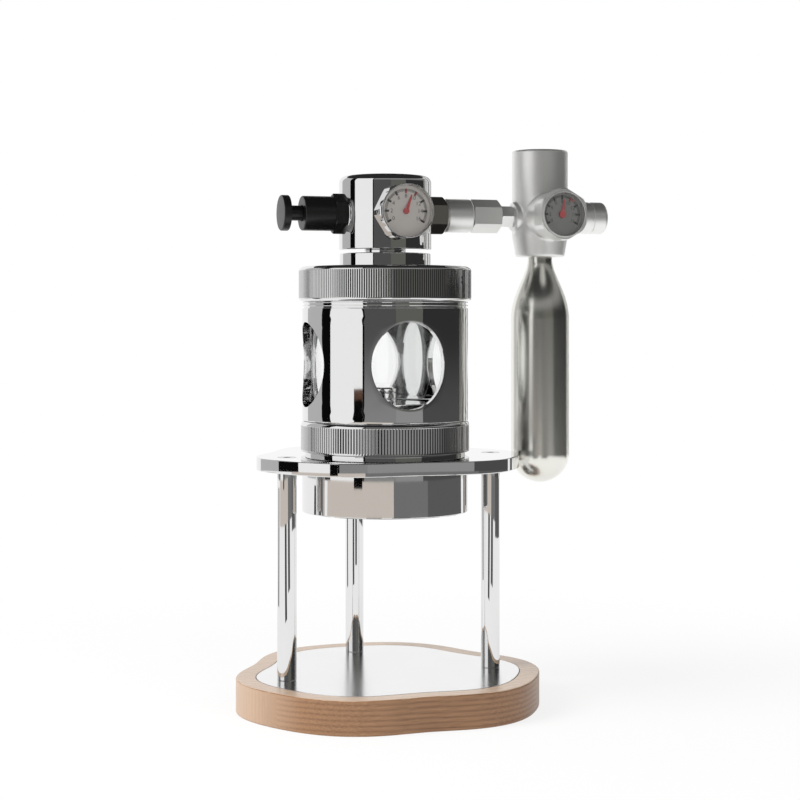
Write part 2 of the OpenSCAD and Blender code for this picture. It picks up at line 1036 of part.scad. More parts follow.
module front_gauge_tube() {
    color("goldenrod")
        at_front_gauge()
            gauge_tube(front_gauge_l);
}

module front_gauge_dial() {
    color("lightgray")
        at_front_gauge()
            gauge_dial(front_dial_r, front_gauge_l);
}

module front_gauge_needle() {
    color("red")
        at_front_gauge()
            gauge_needle(front_dial_r, front_gauge_l, front_reading);
}

module front_gauge_lens() {
    color("lightcyan", 0.4)
        at_front_gauge()
            gauge_lens(front_dial_r, front_gauge_l);
}

module side_gauge_case() {
    color("gainsboro")
        at_side_gauge()
            gauge_case(side_hex_r, side_dial_r + dial_wall, side_dial_r, side_gauge_l,
                side_gauge_l - bezel_lip, side_stem_l, hex_turn);
}

module side_gauge_tube() {
    color("goldenrod")
        at_side_gauge()
            gauge_tube(side_gauge_l);
}

module side_gauge_dial() {
    color("dimgray")
        at_side_gauge()
            gauge_dial(side_dial_r, side_gauge_l);
}

module side_gauge_needle() {
    color("red")
        at_side_gauge()
            gauge_needle(side_dial_r, side_gauge_l, side_reading);
}

module side_gauge_lens() {
    color("lightcyan", 0.4)
        at_side_gauge()
            gauge_lens(side_dial_r, side_gauge_l);
}

// Release valve, pulled outwards against its spring
module valve_seat_ring() {
    color("silver")
        along_left()
            translate([0, 0, seat_floor])
                ring(seat_ring_r, port_r + run_gap, seat_ring_t);
}

module valve_body() {
    color("dimgray")
        along_left()
            difference() {
                union() {
                    translate([0, 0, valve_root])
                        rod(port_r, valve_x - valve_root);
                    translate([0, 0, valve_x])
                        hex(valve_hex_r, valve_hex_l);
                    translate([0, 0, valve_barrel_x])
                        rod(valve_r, valve_l);
                }
                translate([0, 0, valve_root - cut])
                    rod(orifice_r, orifice_l + 2 * cut);
                translate([0, 0, poppet_x])
                    rod(valve_bore_r, spring_end_x - poppet_x);
                translate([0, 0, poppet_x])
                    rod(knob_neck_r + run_gap, valve_end);
            }
}

module valve_plunger() {
    color("dimgray")
        along_left()
            turned([
                [0, poppet_x],
                [poppet_r, poppet_x],
                [poppet_r, poppet_end],
                [stem_thin_r, poppet_end],
                [stem_thin_r, spring_end_x],
                [knob_neck_r, spring_end_x],
                [knob_neck_r, knob_x],
                [knob_r, knob_x],
                [knob_r, knob_x + knob_t],
                [0, knob_x + knob_t]
            ]);
}

module valve_spring() {
    color("silver")
        along_left()
            translate([0, 0, poppet_end])
                coil_spring(valve_coil_r, valve_wire_r, valve_turns, spring_end_x - poppet_end);
}

// Gas line
module inlet_nut() {
    color("dimgray")
        along_right()
            difference() {
                union() {
                    translate([0, 0, port_end])
                        rod(port_r, nut_x - port_end);
                    translate([0, 0, nut_x])
                        hex(nut_r, nut_l);
                    translate([0, 0, nut_end])
                        rod(tail_r, tail_end - nut_end);
                }
                translate([0, 0, port_end])
                    bore(gas_r, tail_end - port_end);
            }
}

module coupler_sleeve() {
    color("silver")
        along_right()
            turned([
                [tail_r + run_gap, coupler_x],
                [coupler_r - coupler_chamfer, coupler_x],
                [coupler_r, coupler_x + coupler_chamfer],
                [coupler_r, coupler_x + coupler_l - coupler_chamfer],
                [coupler_r - coupler_chamfer, coupler_x + coupler_l],
                [tail_r + run_gap, coupler_x + coupler_l]
            ]);
}

module hex_adapter() {
    color("silver")
        along_right()
            difference() {
                translate([0, 0, adapter_x])
                    hex(adapter_r, adapter_l);
                translate([0, 0, adapter_x - cut])
                    rod(tail_r + run_gap, tail_bite + face_gap + cut);
                translate([0, 0, adapter_x])
                    rod(gas_r, adapter_l);
                translate([0, 0, adapter_end - nipple_bite - face_gap])
                    rod(nipple_thread_r + run_gap, nipple_bite + face_gap + cut);
            }
}

module regulator_nipple() {
    color("silver")
        along_right()
            difference() {
                union() {
                    translate([0, 0, adapter_end - nipple_bite])
                        rod(nipple_thread_r, nipple_end - adapter_end + 2 * nipple_bite);
                    translate([0, 0, adapter_end])
                        rod(nipple_neck_r, nipple_end - adapter_end);
                    translate([0, 0, adapter_end + nipple_neck_l])
                        rotate([0, 0, hex_turn])
                            hex(nipple_r, nipple_l);
                }
                translate([0, 0, adapter_end - nipple_bite])
                    bore(pin_r, nipple_end - adapter_end + 2 * nipple_bite);
            }
}

// Regulator
module regulator_body() {
    color("gainsboro")
        difference() {
            union() {
                at_regulator()
                    turned([
                        [0, reg_z],
                        [skirt_r, reg_z],
                        [reg_r, reg_z + skirt_h],
                        [reg_r, reg_top - reg_edge],
                        [reg_r - reg_edge, reg_top],
                        [0, reg_top]
                    ]);
                at_regulator() {
                    along_front()
                        rod(boss_r, boss_l);
                    along_right()
                        rod(side_boss_r, side_boss_l);
                    along_left()
                        rod(inlet_boss_r, reg_spot);
                }
            }
            at_regulator() {
                translate([0, 0, reg_z - cut])
                    rod(socket_bore_r, pin_plate_z + pin_plate_t - reg_z + cut);
                translate([0, 0, reg_z])
                    rod(pin_r, piston_z - reg_z);
                translate([0, 0, piston_z - face_gap])
                    rod(chamber_r, cap_z - piston_z + face_gap);
                translate([0, 0, cap_z - face_gap])
                    rod(cap_r + run_gap, cap_t + cut);
                along_left() {
                    rod(pin_r, reg_r);
                    translate([0, 0, reg_spot - nipple_bite - face_gap])
                        rod(nipple_thread_r + run_gap, reg_r);
                }
                along_front() {
                    rod(pin_r, boss_l);
                    translate([0, 0, boss_l - side_stem_l - face_gap])
                        rod(gauge_stem_r + run_gap, side_stem_l + cut);
                }
                along_right()
                    translate([0, 0, side_boss_l - nipple_bite])
                        rod(nipple_thread_r + run_gap, nipple_bite + cut);
            }
        }
}

module shutoff_knob() {
    color("gainsboro")
        at_regulator()
            along_right()
                translate([0, 0, side_boss_l + face_gap]) {
                    turned([
                        [0, 0],
                        [shutoff_r, 0],
                        [shutoff_r, shutoff_l - shutoff_edge],
                        [shutoff_r - shutoff_edge / 3, shutoff_l - shutoff_edge / 3],
                        [shutoff_r - shutoff_edge, shutoff_l],
                        [0, shutoff_l]
                    ]);
                    translate([0, 0, face_gap - nipple_bite])
                        rod(nipple_thread_r, nipple_bite);
                }
}

module piercing_pin() {
    color("silver")
        at_regulator()
            difference() {
                union() {
                    translate([0, 0, pin_plate_z])
                        rod(socket_bore_r - run_gap, pin_plate_t - face_gap);
                    translate([0, 0, cartridge_top - pin_tip])
                        rod(pin_r, pin_plate_z - cartridge_top + pin_tip + pin_r);
                }
                translate([0, 0, cartridge_top - pin_tip])
                    bore(pin_hole_r, pin_plate_z + pin_plate_t - cartridge_top + pin_tip);
            }
}

module cartridge_seal() {
    color("dimgray")
        at_regulator()
            translate([0, 0, pin_plate_z - pin_seal_t])
                ring(socket_bore_r - run_gap, 2 * pin_r, pin_seal_t);
}

module regulator_piston() {
    color("silver")
        at_regulator()
            translate([0, 0, piston_z])
                difference() {
                    rod(chamber_r - run_gap, piston_t);
                    bore(pin_hole_r, piston_t);
                }
}

module regulator_spring() {
    color("silver")
        at_regulator()
            translate([0, 0, piston_z + piston_t])
                coil_spring(main_coil_r, main_wire_r, main_turns,
                    spring_plate_z - piston_z - piston_t);
}

module spring_plate() {
    color("silver")
        at_regulator()
            translate([0, 0, spring_plate_z])
                rod(plate_disc_r, plate_disc_t);
}

module spring_cap() {
    color("gainsboro")
        at_regulator()
            translate([0, 0, cap_z])
                difference() {
                    rod(cap_r, cap_t - face_gap);
                    bore(adjust_r + run_gap, cap_t);
                }
}

module adjusting_screw() {
    color("dimgray")
        at_regulator()
            translate([0, 0, cap_z - adjust_drop])
                difference() {
                    rod(adjust_r, cap_t + adjust_drop - 2 * face_gap);
                    translate([0, 0, cap_t + adjust_drop - 2 * face_gap - socket_depth])
                        hex(socket_r, socket_depth + cut);
                }
}

// Gas cartridge, which screws up into the regulator
function shoulder_blend(t) = (1 + cos(180 * pow(1 - t, shoulder_share))) / 2;
function shoulder(inset) = [
    for (i = [0:shoulder_steps])
        let (t = i / shoulder_steps)
        [
            cartridge_r - inset - (cartridge_r - cartridge_neck_r) * shoulder_blend(t),
            shoulder_z + shoulder_h * t
        ]
];

module cartridge_shape(inset, top) {
    dome_z = cartridge_z + cartridge_r;
    rotate_extrude($fn = round_steps) {
        polygon(concat(
            [[0, dome_z], [cartridge_r - inset, dome_z]],
            shoulder(inset),
            [[cartridge_neck_r - inset, top], [0, top]]
        ));
        intersection() {
            translate([0, dome_z])
                circle(cartridge_r - inset, $fn = round_steps);
            translate([0, cartridge_z])
                square([cartridge_r, cartridge_r]);
        }
    }
}

module gas_cartridge() {
    color("silver")
        at_regulator()
            difference() {
                cartridge_shape(0, cartridge_top);
                cartridge_shape(cartridge_wall, cartridge_top + cut);
            }
}

wood_base();
base_inlay();
rear_leg();
left_leg();
right_leg();
base_screws();
plate_screws();
top_plate();
group_body();
group_gasket();
spray_screen();
spray_screw();
spray_block();
diffuser_disc();
diffuser_hub();
lower_seal();
glass_tube();
chamber_sleeve();
lower_ring();
filter_holder();
filter_basket();
upper_ring();
upper_seal();
chamber_lid();
head_stem();
head_body();
front_gauge_case();
front_gauge_tube();
front_gauge_dial();
front_gauge_needle();
front_gauge_lens();
valve_seat_ring();
valve_body();
valve_spring();
valve_plunger();
inlet_nut();
coupler_sleeve();
hex_adapter();
regulator_nipple();
regulator_body();
side_gauge_case();
side_gauge_tube();
side_gauge_dial();
side_gauge_needle();
side_gauge_lens();
shutoff_knob();
piercing_pin();
cartridge_seal();
regulator_piston();
regulator_spring();
spring_plate();
spring_cap();
adjusting_screw();
gas_cartridge();
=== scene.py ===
"""Looks of a manual espresso machine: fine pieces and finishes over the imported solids, and its studio.

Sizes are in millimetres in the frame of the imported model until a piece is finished, and then in metres. In a
pair or triple of sizes a radius comes before heights, and as a rule the inner and the lower one come first.
"""

import json
import logging
import math
from collections.abc import Callable, Sequence
from dataclasses import dataclass, field
from enum import Enum
from typing import Any

import bmesh
import bpy
from mathutils import Matrix, Vector

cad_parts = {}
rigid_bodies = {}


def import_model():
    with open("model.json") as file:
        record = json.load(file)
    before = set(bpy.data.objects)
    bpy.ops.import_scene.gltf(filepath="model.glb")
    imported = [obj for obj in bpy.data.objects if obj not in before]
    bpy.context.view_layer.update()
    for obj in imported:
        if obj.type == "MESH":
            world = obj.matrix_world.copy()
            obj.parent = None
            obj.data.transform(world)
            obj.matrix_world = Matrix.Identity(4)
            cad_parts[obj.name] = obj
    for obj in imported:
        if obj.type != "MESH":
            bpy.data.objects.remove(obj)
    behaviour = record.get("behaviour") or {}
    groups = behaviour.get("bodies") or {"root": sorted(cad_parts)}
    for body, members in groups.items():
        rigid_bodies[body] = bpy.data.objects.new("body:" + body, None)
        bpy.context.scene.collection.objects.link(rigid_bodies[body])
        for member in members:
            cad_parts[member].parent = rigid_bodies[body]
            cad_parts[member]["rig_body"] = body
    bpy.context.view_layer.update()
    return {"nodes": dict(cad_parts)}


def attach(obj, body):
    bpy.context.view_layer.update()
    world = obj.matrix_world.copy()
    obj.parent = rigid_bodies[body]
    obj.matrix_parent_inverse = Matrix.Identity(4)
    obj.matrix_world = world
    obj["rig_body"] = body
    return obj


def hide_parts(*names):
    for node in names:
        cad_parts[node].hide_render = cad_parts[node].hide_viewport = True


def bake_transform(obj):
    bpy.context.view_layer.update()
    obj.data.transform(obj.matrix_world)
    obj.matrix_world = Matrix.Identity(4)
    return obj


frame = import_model()
MM = 0.001
GAS_LINE_Z = 205.0
REGULATOR_X = 70.1

Colour = tuple[float, float, float, float]
Corner = tuple[float, ...]
Pair = tuple[float, float]
Triple = tuple[float, float, float]
log = logging.getLogger("espresso_machine")


def shade(red: float, green: float, blue: float) -> Colour:
    """Turns display levels from 0 to 255 into the linear colour that a socket takes.

    Args:
        red: red level.
        green: green level.
        blue: blue level.

    Returns:
        The colour with an alpha of 1.
    """
    shares = [level / 255 for level in (red, green, blue)]
    linear = [s / 12.92 if s <= 0.04045 else ((s + 0.055) / 1.055) ** 2.4 for s in shares]
    return (linear[0], linear[1], linear[2], 1.0)


def grey(level: float) -> Colour:
    """Returns the linear colour of a grey display level."""
    return shade(level, level, level)


def toned(colour: Colour, factor: float) -> Colour:
    """Returns a colour made darker or paler by a factor."""
    return tuple(min(1.0, level * factor) for level in colour[:3]) + (1.0,)


class Join(Enum):
    """How one workpiece is joined to another."""

    ADD = "UNION"
    CUT = "DIFFERENCE"
    KEEP = "INTERSECT"


class Link:
    """An output of a recipe's node, with the arithmetic that Math nodes do."""

    def __init__(self, recipe: "Recipe", socket: bpy.types.NodeSocket) -> None:
        """Keeps the recipe and the socket."""
        self.recipe = recipe
        self.socket = socket

    def other(self, output: str) -> "Link":
        """Returns another output of the same node."""
        return Link(self.recipe, self.socket.node.outputs[output])

    def math(self, operation: str, *others: "Link | float") -> "Link":
        """Adds a Math node whose first input is this link, and returns its result."""
        return self.recipe.node("Math", {"operation": operation}, dict(enumerate((self, *others))))

    def __add__(self, other: "Link | float") -> "Link":
        """Returns the sum."""
        return self.math("ADD", other)

    def __sub__(self, other: "Link | float") -> "Link":
        """Returns the difference."""
        return self.math("SUBTRACT", other)

    def __rsub__(self, other: float) -> "Link":
        """Returns a number less this link."""
        return self.recipe.node("Math", {"operation": "SUBTRACT"}, {0: other, 1: self})

    def __mul__(self, other: "Link | float") -> "Link":
        """Returns the product."""
        return self.math("MULTIPLY", other)

    def __pow__(self, other: "Link | float") -> "Link":
        """Returns the power."""
        return self.math("POWER", other)

    __radd__ = __add__
    __rmul__ = __mul__


class Recipe:
    """The nodes of one material or of the world."""

    def __init__(self, owner: bpy.types.Material | bpy.types.World) -> None:
        """Starts from an empty tree.

        Args:
            owner: what the tree belongs to.
        """
        owner.use_nodes = True
        self.tree = owner.node_tree
        self.tree.nodes.clear()

    def node(
        self,
        kind: str,
        settings: dict[str, Any] | None = None,
        inputs: dict[Any, Any] | None = None,
        output: int | str = 0,
    ) -> Link:
        """Adds a node.

        Args:
            kind: the node's type, without its usual prefix.
            settings: properties that are set first.
            inputs: links or values of its inputs, by name or place.
            output: the output that is returned.

        Returns:
            That output.
        """
        made = self.tree.nodes.new("ShaderNode" + kind)
        for name, value in (settings or {}).items():
            setattr(made, name, value)
        for name, value in (inputs or {}).items():
            if isinstance(value, Link):
                self.tree.links.new(value.socket, made.inputs[name])
            else:
                made.inputs[name].default_value = value
        return Link(self, made.outputs[output])

    def output(self, kind: str, surface: Link) -> None:
        """Ends the tree in an output node for a Material or a World."""
        made = self.tree.nodes.new("ShaderNodeOutput" + kind)
        self.tree.links.new(surface.socket, made.inputs["Surface"])

    def place(self) -> Link:
        """Returns the object coordinates."""
        return self.node("TexCoord", output="Object")

    def part(self, vector: Link, axis: str) -> Link:
        """Returns a vector's share along one axis."""
        return self.node("SeparateXYZ", None, {0: vector}, axis)

    def noise(
        self, vector: Link, size: float, detail: float = 2.0, stretch: Sequence[float] | None = None
    ) -> Link:
        """Adds a noise.

        Args:
            vector: where it is read.
            size: size of its features, in millimetres.
            detail: how many finer layers it has.
            stretch: scale of the vector along each axis, or None where it is even.

        Returns:
            Its value, about 0.5 on average.
        """
        if stretch:
            vector = self.node("VectorMath", {"operation": "MULTIPLY"}, {0: vector, 1: stretch})
        return self.node("TexNoise", None, {"Vector": vector, "Scale": 1 / (size * MM), "Detail": detail})

    def ramp(self, value: Link, low: float, high: float) -> Link:
        """Returns a smooth step from 0 at low to 1 at high."""
        settings = {"interpolation_type": "SMOOTHSTEP"}
        return self.node("MapRange", settings, {"Value": value, "From Min": low, "From Max": high})

    def mix(self, share: Link | float, first: Link | Colour, second: Link | Colour) -> Link:
        """Returns the mix of two colours, by the share of the second."""
        return self.node("Mix", {"data_type": "RGBA"}, {0: share, 6: first, 7: second}, 2)

    def bump(self, height: Link, depth: float) -> Link:
        """Returns the normal bumped by a height from 0 to 1, whose depth is in micrometres."""
        return self.node("Bump", None, {"Distance": depth * MM * MM, "Height": height})


@dataclass(frozen=True)
class Finish:
    """A surface's finish, with its slot in the record."""

    name: str
    slot: str

    def sockets(self, recipe: Recipe) -> dict[str, Any]:
        """Returns the values and links of the shader's sockets."""
        raise NotImplementedError

    def material(self) -> bpy.types.Material:
        """Makes the finish's material, if it isn't made yet.

        Returns:
            The material.
        """
        made = bpy.data.materials.get("finish_" + self.name)
        if made is None:
            made = bpy.data.materials.new("finish_" + self.name)
            recipe = Recipe(made)
            recipe.output("Material", recipe.node("BsdfPrincipled", None, self.sockets(recipe)))
        return made


@dataclass(frozen=True)
class Metal(Finish):
    """Bare or plated metal, with wipe marks and the marks of its last tool.

    Attributes:
        colour: colour of the metal.
        roughness: mean roughness.
        wiping: how far wipe marks change the roughness.
        grain: size of the tool marks along each axis, in millimetres.
        depth: depth of the tool marks, in micrometres.
        patina: how much darker the metal is where it is dull.
        metallic: how far it is metal, less where a matt oxide scatters the light.
        wipe_size: size of the wipe marks, in millimetres.
    """

    colour: Colour
    roughness: float
    wiping: float = 0.01
    grain: Triple = (3.0, 3.0, 3.0)
    depth: float = 0.2
    patina: float = 0.04
    metallic: float = 1.0
    wipe_size: float = 16.0

    def sockets(self, recipe: Recipe) -> dict[str, Any]:
        """Fills the shader's sockets.

        Args:
            recipe: the material's recipe.

        Returns:
            Their values and links.
        """
        place = recipe.place()
        wipes = recipe.noise(place, self.wipe_size, 4.0)
        marks = recipe.noise(place, 1.0, 3.0, [1 / size for size in self.grain])
        dull = toned(self.colour, 1 - self.patina)
        return {
            "Base Color": recipe.mix(marks * 0.5 + wipes * 0.5, self.colour, dull),
            "Metallic": self.metallic,
            "Roughness": (wipes - 0.5) * (2 * self.wiping) + (marks - 0.5) * self.wiping + self.roughness,
            "Normal": recipe.bump(marks, self.depth),
        }


@dataclass(frozen=True)
class OiledWood(Finish):
    """Oiled wood, whose year lines run along the front and up the two ends.

    Attributes:
        early: colour between the year lines.
        late: colour of the year lines.
        painted_light_wood: colour of the upper side and of the left end, painted light: a painted sheen on top
            and painted lamp light on the left end.
        spacing: distance between the lines, in millimetres.
        waves: how far the lines wave, in radians.
        drift: how far they drift along the piece, in radians.
        contrast: strength of the year lines.
        relief: depth of the fibres, in micrometres.
    """

    early: Colour
    late: Colour
    painted_light_wood: Colour
    spacing: float = 2.1
    waves: float = 12.0
    drift: float = 7.0
    contrast: float = 1.8
    relief: float = 30.0

    def sockets(self, recipe: Recipe) -> dict[str, Any]:
        """Fills the shader's sockets.

        Args:
            recipe: the material's recipe.

        Returns:
            Their values and links.
        """
        place = recipe.place()
        facing = recipe.part(recipe.node("TexCoord", output="Normal"), "X")
        across = recipe.part(place, "Y")
        end = recipe.ramp(facing.math("ABSOLUTE"), 0.86, 0.9)
        top = recipe.ramp(facing.other("Z").math("ABSOLUTE"), 0.6, 0.8)
        turned = end.math("MAXIMUM", top)
        depth = across * turned + across.other("Z") * (1 - turned)
        waves = recipe.noise(place, 30.0, 2.0, (0.25, 0.6, 1.0))
        drift = recipe.noise(place, 150.0, 1.0, (0.05, 0.3, 1.0))
        phase = depth * (math.tau / (self.spacing * MM)) + waves * self.waves + drift * self.drift
        strength = recipe.noise(place, 60.0, 1.0, (0.1, 1.0, 1.5))
        lines = (phase.math("SINE") * 0.5 + 0.5) ** 1.8 * strength * self.contrast
        along = recipe.noise(place, 0.5, 3.0, (0.03, 1.0, 1.0))
        upright = recipe.noise(place, 0.5, 3.0, (1.0, 1.0, 0.04))
        fibres = along * (1 - end) + upright * end
        patches = recipe.noise(place, 30.0, 2.0)
        share = lines * 0.3 + fibres * 0.8 + patches * 0.4 - 0.33
        # Painted light: the left end, which faces the key lamp, and the upper side, for its sheen at a grazing
        # view, are made paler.
        painted_left_light = recipe.ramp(facing * -1.0, 0.74, 0.98) * 0.6
        wood = recipe.mix(share, self.early, self.late)
        painted_light_wood = recipe.mix(top.math("MAXIMUM", painted_left_light), wood, self.painted_light_wood)
        return {
            "Base Color": recipe.mix(share * 0.35 * top, painted_light_wood, self.late),
            "Roughness": fibres * 0.16 + 0.28 - top * 0.08,
            "Normal": recipe.bump(fibres * 0.7 + lines * 0.3, self.relief),
        }


@dataclass(frozen=True)
class ClearGlass(Finish):
    """Clear glass with faint wipe marks."""

    tint: Colour = (0.99, 0.995, 0.992, 1.0)

    def sockets(self, recipe: Recipe) -> dict[str, Any]:
        """Fills the shader's sockets.

        Args:
            recipe: the material's recipe.

        Returns:
            Their values and links.
        """
        wipes = recipe.noise(recipe.place(), 12.0, 4.0)
        return {
            "Base Color": self.tint,
            "Roughness": recipe.ramp(wipes, 0.45, 0.9) * 0.03,
            "IOR": 1.5,
            "Transmission Weight": 1.0,
        }


@dataclass(frozen=True)
class Coated(Finish):
    """Paint, print, plastic or rubber: a coloured coat with a fine texture.

    Attributes:
        colour: colour of the coat.
        roughness: mean roughness.
        texture: size of its texture, in millimetres.
        depth: depth of its texture, in micrometres.
        mottle: how much the colour varies.
    """

    colour: Colour
    roughness: float
    texture: float = 0.3
    depth: float = 4.0
    mottle: float = 0.08

    def sockets(self, recipe: Recipe) -> dict[str, Any]:
        """Fills the shader's sockets.

        Args:
            recipe: the material's recipe.

        Returns:
            Their values and links.
        """
        place = recipe.place()
        pits = recipe.noise(place, self.texture, 3.0)
        clouds = recipe.noise(place, 20 * self.texture, 3.0)
        return {
            "Base Color": recipe.mix(clouds, self.colour, toned(self.colour, 1 + self.mottle)),
            "Roughness": pits * 0.1 + clouds * 0.06 + (self.roughness - 0.08),
            "Normal": recipe.bump(pits, self.depth),
        }


CHROME = Metal("polished_chrome", "polished_chrome", grey(232), 0.025)
INLAY = Metal("brushed_inlay", "inlay_steel", grey(240), 0.2, 0.03, (60.0, 0.5, 3.0), 0.6)
SATIN = Metal(
    "satin_aluminium", "satin_aluminium", shade(248, 248, 246), 0.42, 0.04,
    grain=(0.4, 0.4, 0.4), depth=2.0, metallic=0.92,
)
CARTRIDGE = Metal(
    "satin_cartridge", "cartridge_steel", shade(240, 239, 232), 0.22, 0.04, grain=(3.0, 3.0, 0.4), depth=1.5
)
BLACK_CHROME = Metal("black_chrome", "black_chrome", shade(196, 193, 188), 0.08, 0.02)
SCREW_STEEL = Metal("screw_steel", "screw_steel", grey(190), 0.2, 0.04)
BASKET_STEEL = Metal("basket_steel", "basket_steel", grey(205), 0.22, 0.04, (3.0, 3.0, 0.4), 1.0)
SPRING_STEEL = Metal("spring_steel", "spring_steel", grey(185), 0.25, 0.04)
TUBE_BRASS = Metal("tube_brass", "tube_brass", shade(212, 176, 106), 0.25, 0.05)
BLACK_ANODISED = Coated("black_anodised", "black_anodised", shade(14, 14, 14), 0.34, 0.2, 2.0)
RUBBER = Coated("seal_rubber", "rubber_seal", shade(38, 37, 36), 0.6, 0.4, 12.0)
# The wood's third colour is painted light on its upper side and its left end.
WOOD = OiledWood("oiled_wood", "base_wood", shade(164, 124, 90), shade(92, 60, 38), shade(208, 182, 158))
GLASS = ClearGlass("clear_glass", "clear_glass")
PALE_DIAL = Coated("pale_dial", "dial_pale", shade(212, 205, 199), 0.5)
GREY_DIAL = Coated("grey_dial", "dial_grey", shade(126, 126, 123), 0.5)
RED_PAINT = Coated("red_paint", "needle_red", shade(190, 34, 42), 0.35)
DARK_INK = Coated("dark_ink", "black_anodised", shade(14, 14, 14), 0.6)
FAINT_INK = Coated("faint_ink", "black_anodised", shade(40, 38, 37), 0.6)
RED_INK = Coated("red_ink", "needle_red", shade(150, 40, 44), 0.6)
# Painted shade: dark metal for the band that shows in the knurled rings' grooves, where shade falls.
PAINTED_GROOVE_SHADE = Metal("shaded_groove", "polished_chrome", grey(70), 0.35, 0.05)


class Workpiece:
    """A piece in the making, in millimetres."""

    def __init__(self) -> None:
        """Starts with nothing."""
        self.mesh = bmesh.new()

    @classmethod
    def turned(cls, corners: Sequence[Corner], steps: int = 96, rounds: int = 3) -> "Workpiece":
        """Turns a profile round the Z axis.

        Args:
            corners: radius, height and, where it is rounded, rounding of each corner. The profile is
                closed, unless it starts and ends on the axis.
            steps: facets of a full turn.
            rounds: facets of a rounding.

        Returns:
            The piece.
        """
        piece = cls()
        mesh = piece.mesh
        verts = [mesh.verts.new((corner[0], 0.0, corner[1])) for corner in corners]
        ends = verts[1:] + (verts[:1] if corners[0][0] or corners[-1][0] else [])
        for start, end in zip(verts, ends):
            mesh.edges.new((start, end))
        for vert, corner in zip(verts, corners):
            if len(corner) > 2 and corner[2]:
                bmesh.ops.bevel(
                    mesh, geom=[vert], offset=corner[2], offset_type="OFFSET", segments=rounds,
                    profile=0.5, affect="VERTICES", material=-1,
                )
        bmesh.ops.spin(
            mesh, geom=mesh.verts[:] + mesh.edges[:], cent=(0, 0, 0), axis=(0, 0, 1),
            angle=math.tau, steps=steps, use_merge=True,
        )
        return piece.tidied()

    @classmethod
    def cylinder(
        cls, inner: float, outer: float, low: float, high: float, steps: int,
        foot: float = 0.0, edge: float = 0.0, mouth: float = 0.0, rounds: int = 3,
    ) -> "Workpiece":
        """Turns a rod or a tube; foot, edge and mouth round it below, above and inside above."""
        corners = [(inner, low), (outer, low, foot), (outer, high, edge), (inner, high, mouth)]
        return cls.turned(corners, steps, rounds)

    @classmethod
    def prism(cls, sides: int, radius: float, length: float, turn: float = 0.0) -> "Workpiece":
        """Makes a prism that stands on the XY plane.

        Args:
            sides: number of its sides.
            radius: radius at its corners.
            length: its height.
            turn: angle of its first corner, in degrees.

        Returns:
            The piece.
        """
        piece = cls()
        first = Matrix.Rotation(math.radians(turn - 90), 4, "Z")
        bmesh.ops.create_cone(
            piece.mesh, cap_ends=True, segments=sides, radius1=radius, radius2=radius,
            depth=length, matrix=Matrix.Translation((0, 0, length / 2)) @ first,
        )
        return piece

    @classmethod
    def hexagon(cls, radius: float, length: float, turn: float = 0.0, bevel: float = 0.55) -> "Workpiece":
        """Makes a hexagon whose corners are turned down at both ends.

        Args:
            radius: radius at its corners.
            length: its height.
            turn: angle of its first corner, in degrees.
            bevel: height of the turned corners.

        Returns:
            The piece.
        """
        flat, wide = radius * 0.93, radius + 0.2
        trim = [(0, 0), (flat, 0), (wide, bevel), (wide, length - bevel), (flat, length), (0, length)]
        return cls.prism(6, radius, length, turn).joined(cls.turned(trim, 144), Join.KEEP)

    @classmethod
    def slab(cls, outline: Callable[[float], Vector], height: float, steps: int = 192) -> "Workpiece":
        """Makes a slab that lies on the XY plane.

        Args:
            outline: the point of its outline at an angle in radians.
            height: its thickness.
            steps: number of points.

        Returns:
            The piece.
        """
        piece = cls()
        mesh = piece.mesh
        bmesh.ops.create_circle(mesh, cap_ends=True, segments=steps, radius=1.0)
        for vert in mesh.verts:
            vert.co = outline(math.atan2(vert.co.y, vert.co.x))
        grown = bmesh.ops.extrude_face_region(mesh, geom=mesh.faces[:])["geom"]
        raised = [part for part in grown if isinstance(part, bmesh.types.BMVert)]
        bmesh.ops.translate(mesh, vec=(0, 0, height), verts=raised)
        return piece.tidied()

    @classmethod
    def lettering(cls, words: str, height: float, thickness: float) -> "Workpiece":
        """Makes raised characters, centred on the origin.

        Args:
            words: the characters.
            height: height of a capital.
            thickness: how far they stand up.

        Returns:
            The piece.
        """
        curve = bpy.data.curves.new("lettering", "FONT")
        curve.body, curve.size, curve.extrude = words, height / 0.7, thickness / 2
        curve.align_x, curve.align_y, curve.resolution_u = "CENTER", "CENTER", 3
        holder = bpy.data.objects.new("lettering", curve)
        flat = bpy.data.meshes.new_from_object(holder)
        piece = cls()
        piece.mesh.from_mesh(flat)
        bpy.data.objects.remove(holder)
        bpy.data.curves.remove(curve)
        bpy.data.meshes.remove(flat)
        return piece

    def tidied(self) -> "Workpiece":
        """Merges doubled vertices and points the faces outwards.

        Returns:
            The piece.
        """
        bmesh.ops.remove_doubles(self.mesh, verts=self.mesh.verts[:], dist=0.0005)
        bmesh.ops.recalc_face_normals(self.mesh, faces=self.mesh.faces[:])
        return self

    def moved(self, matrix: Matrix) -> "Workpiece":
        """Moves the piece by a matrix."""
        bmesh.ops.transform(self.mesh, matrix=matrix, verts=self.mesh.verts[:])
        return self

    def at(self, x: float, y: float, z: float) -> "Workpiece":
        """Moves the piece by three distances."""
        return self.moved(Matrix.Translation((x, y, z)))

    def in_metres(self) -> "Workpiece":
        """Scales the piece from millimetres to metres."""
        bmesh.ops.scale(self.mesh, vec=(MM, MM, MM), verts=self.mesh.verts[:])
        return self

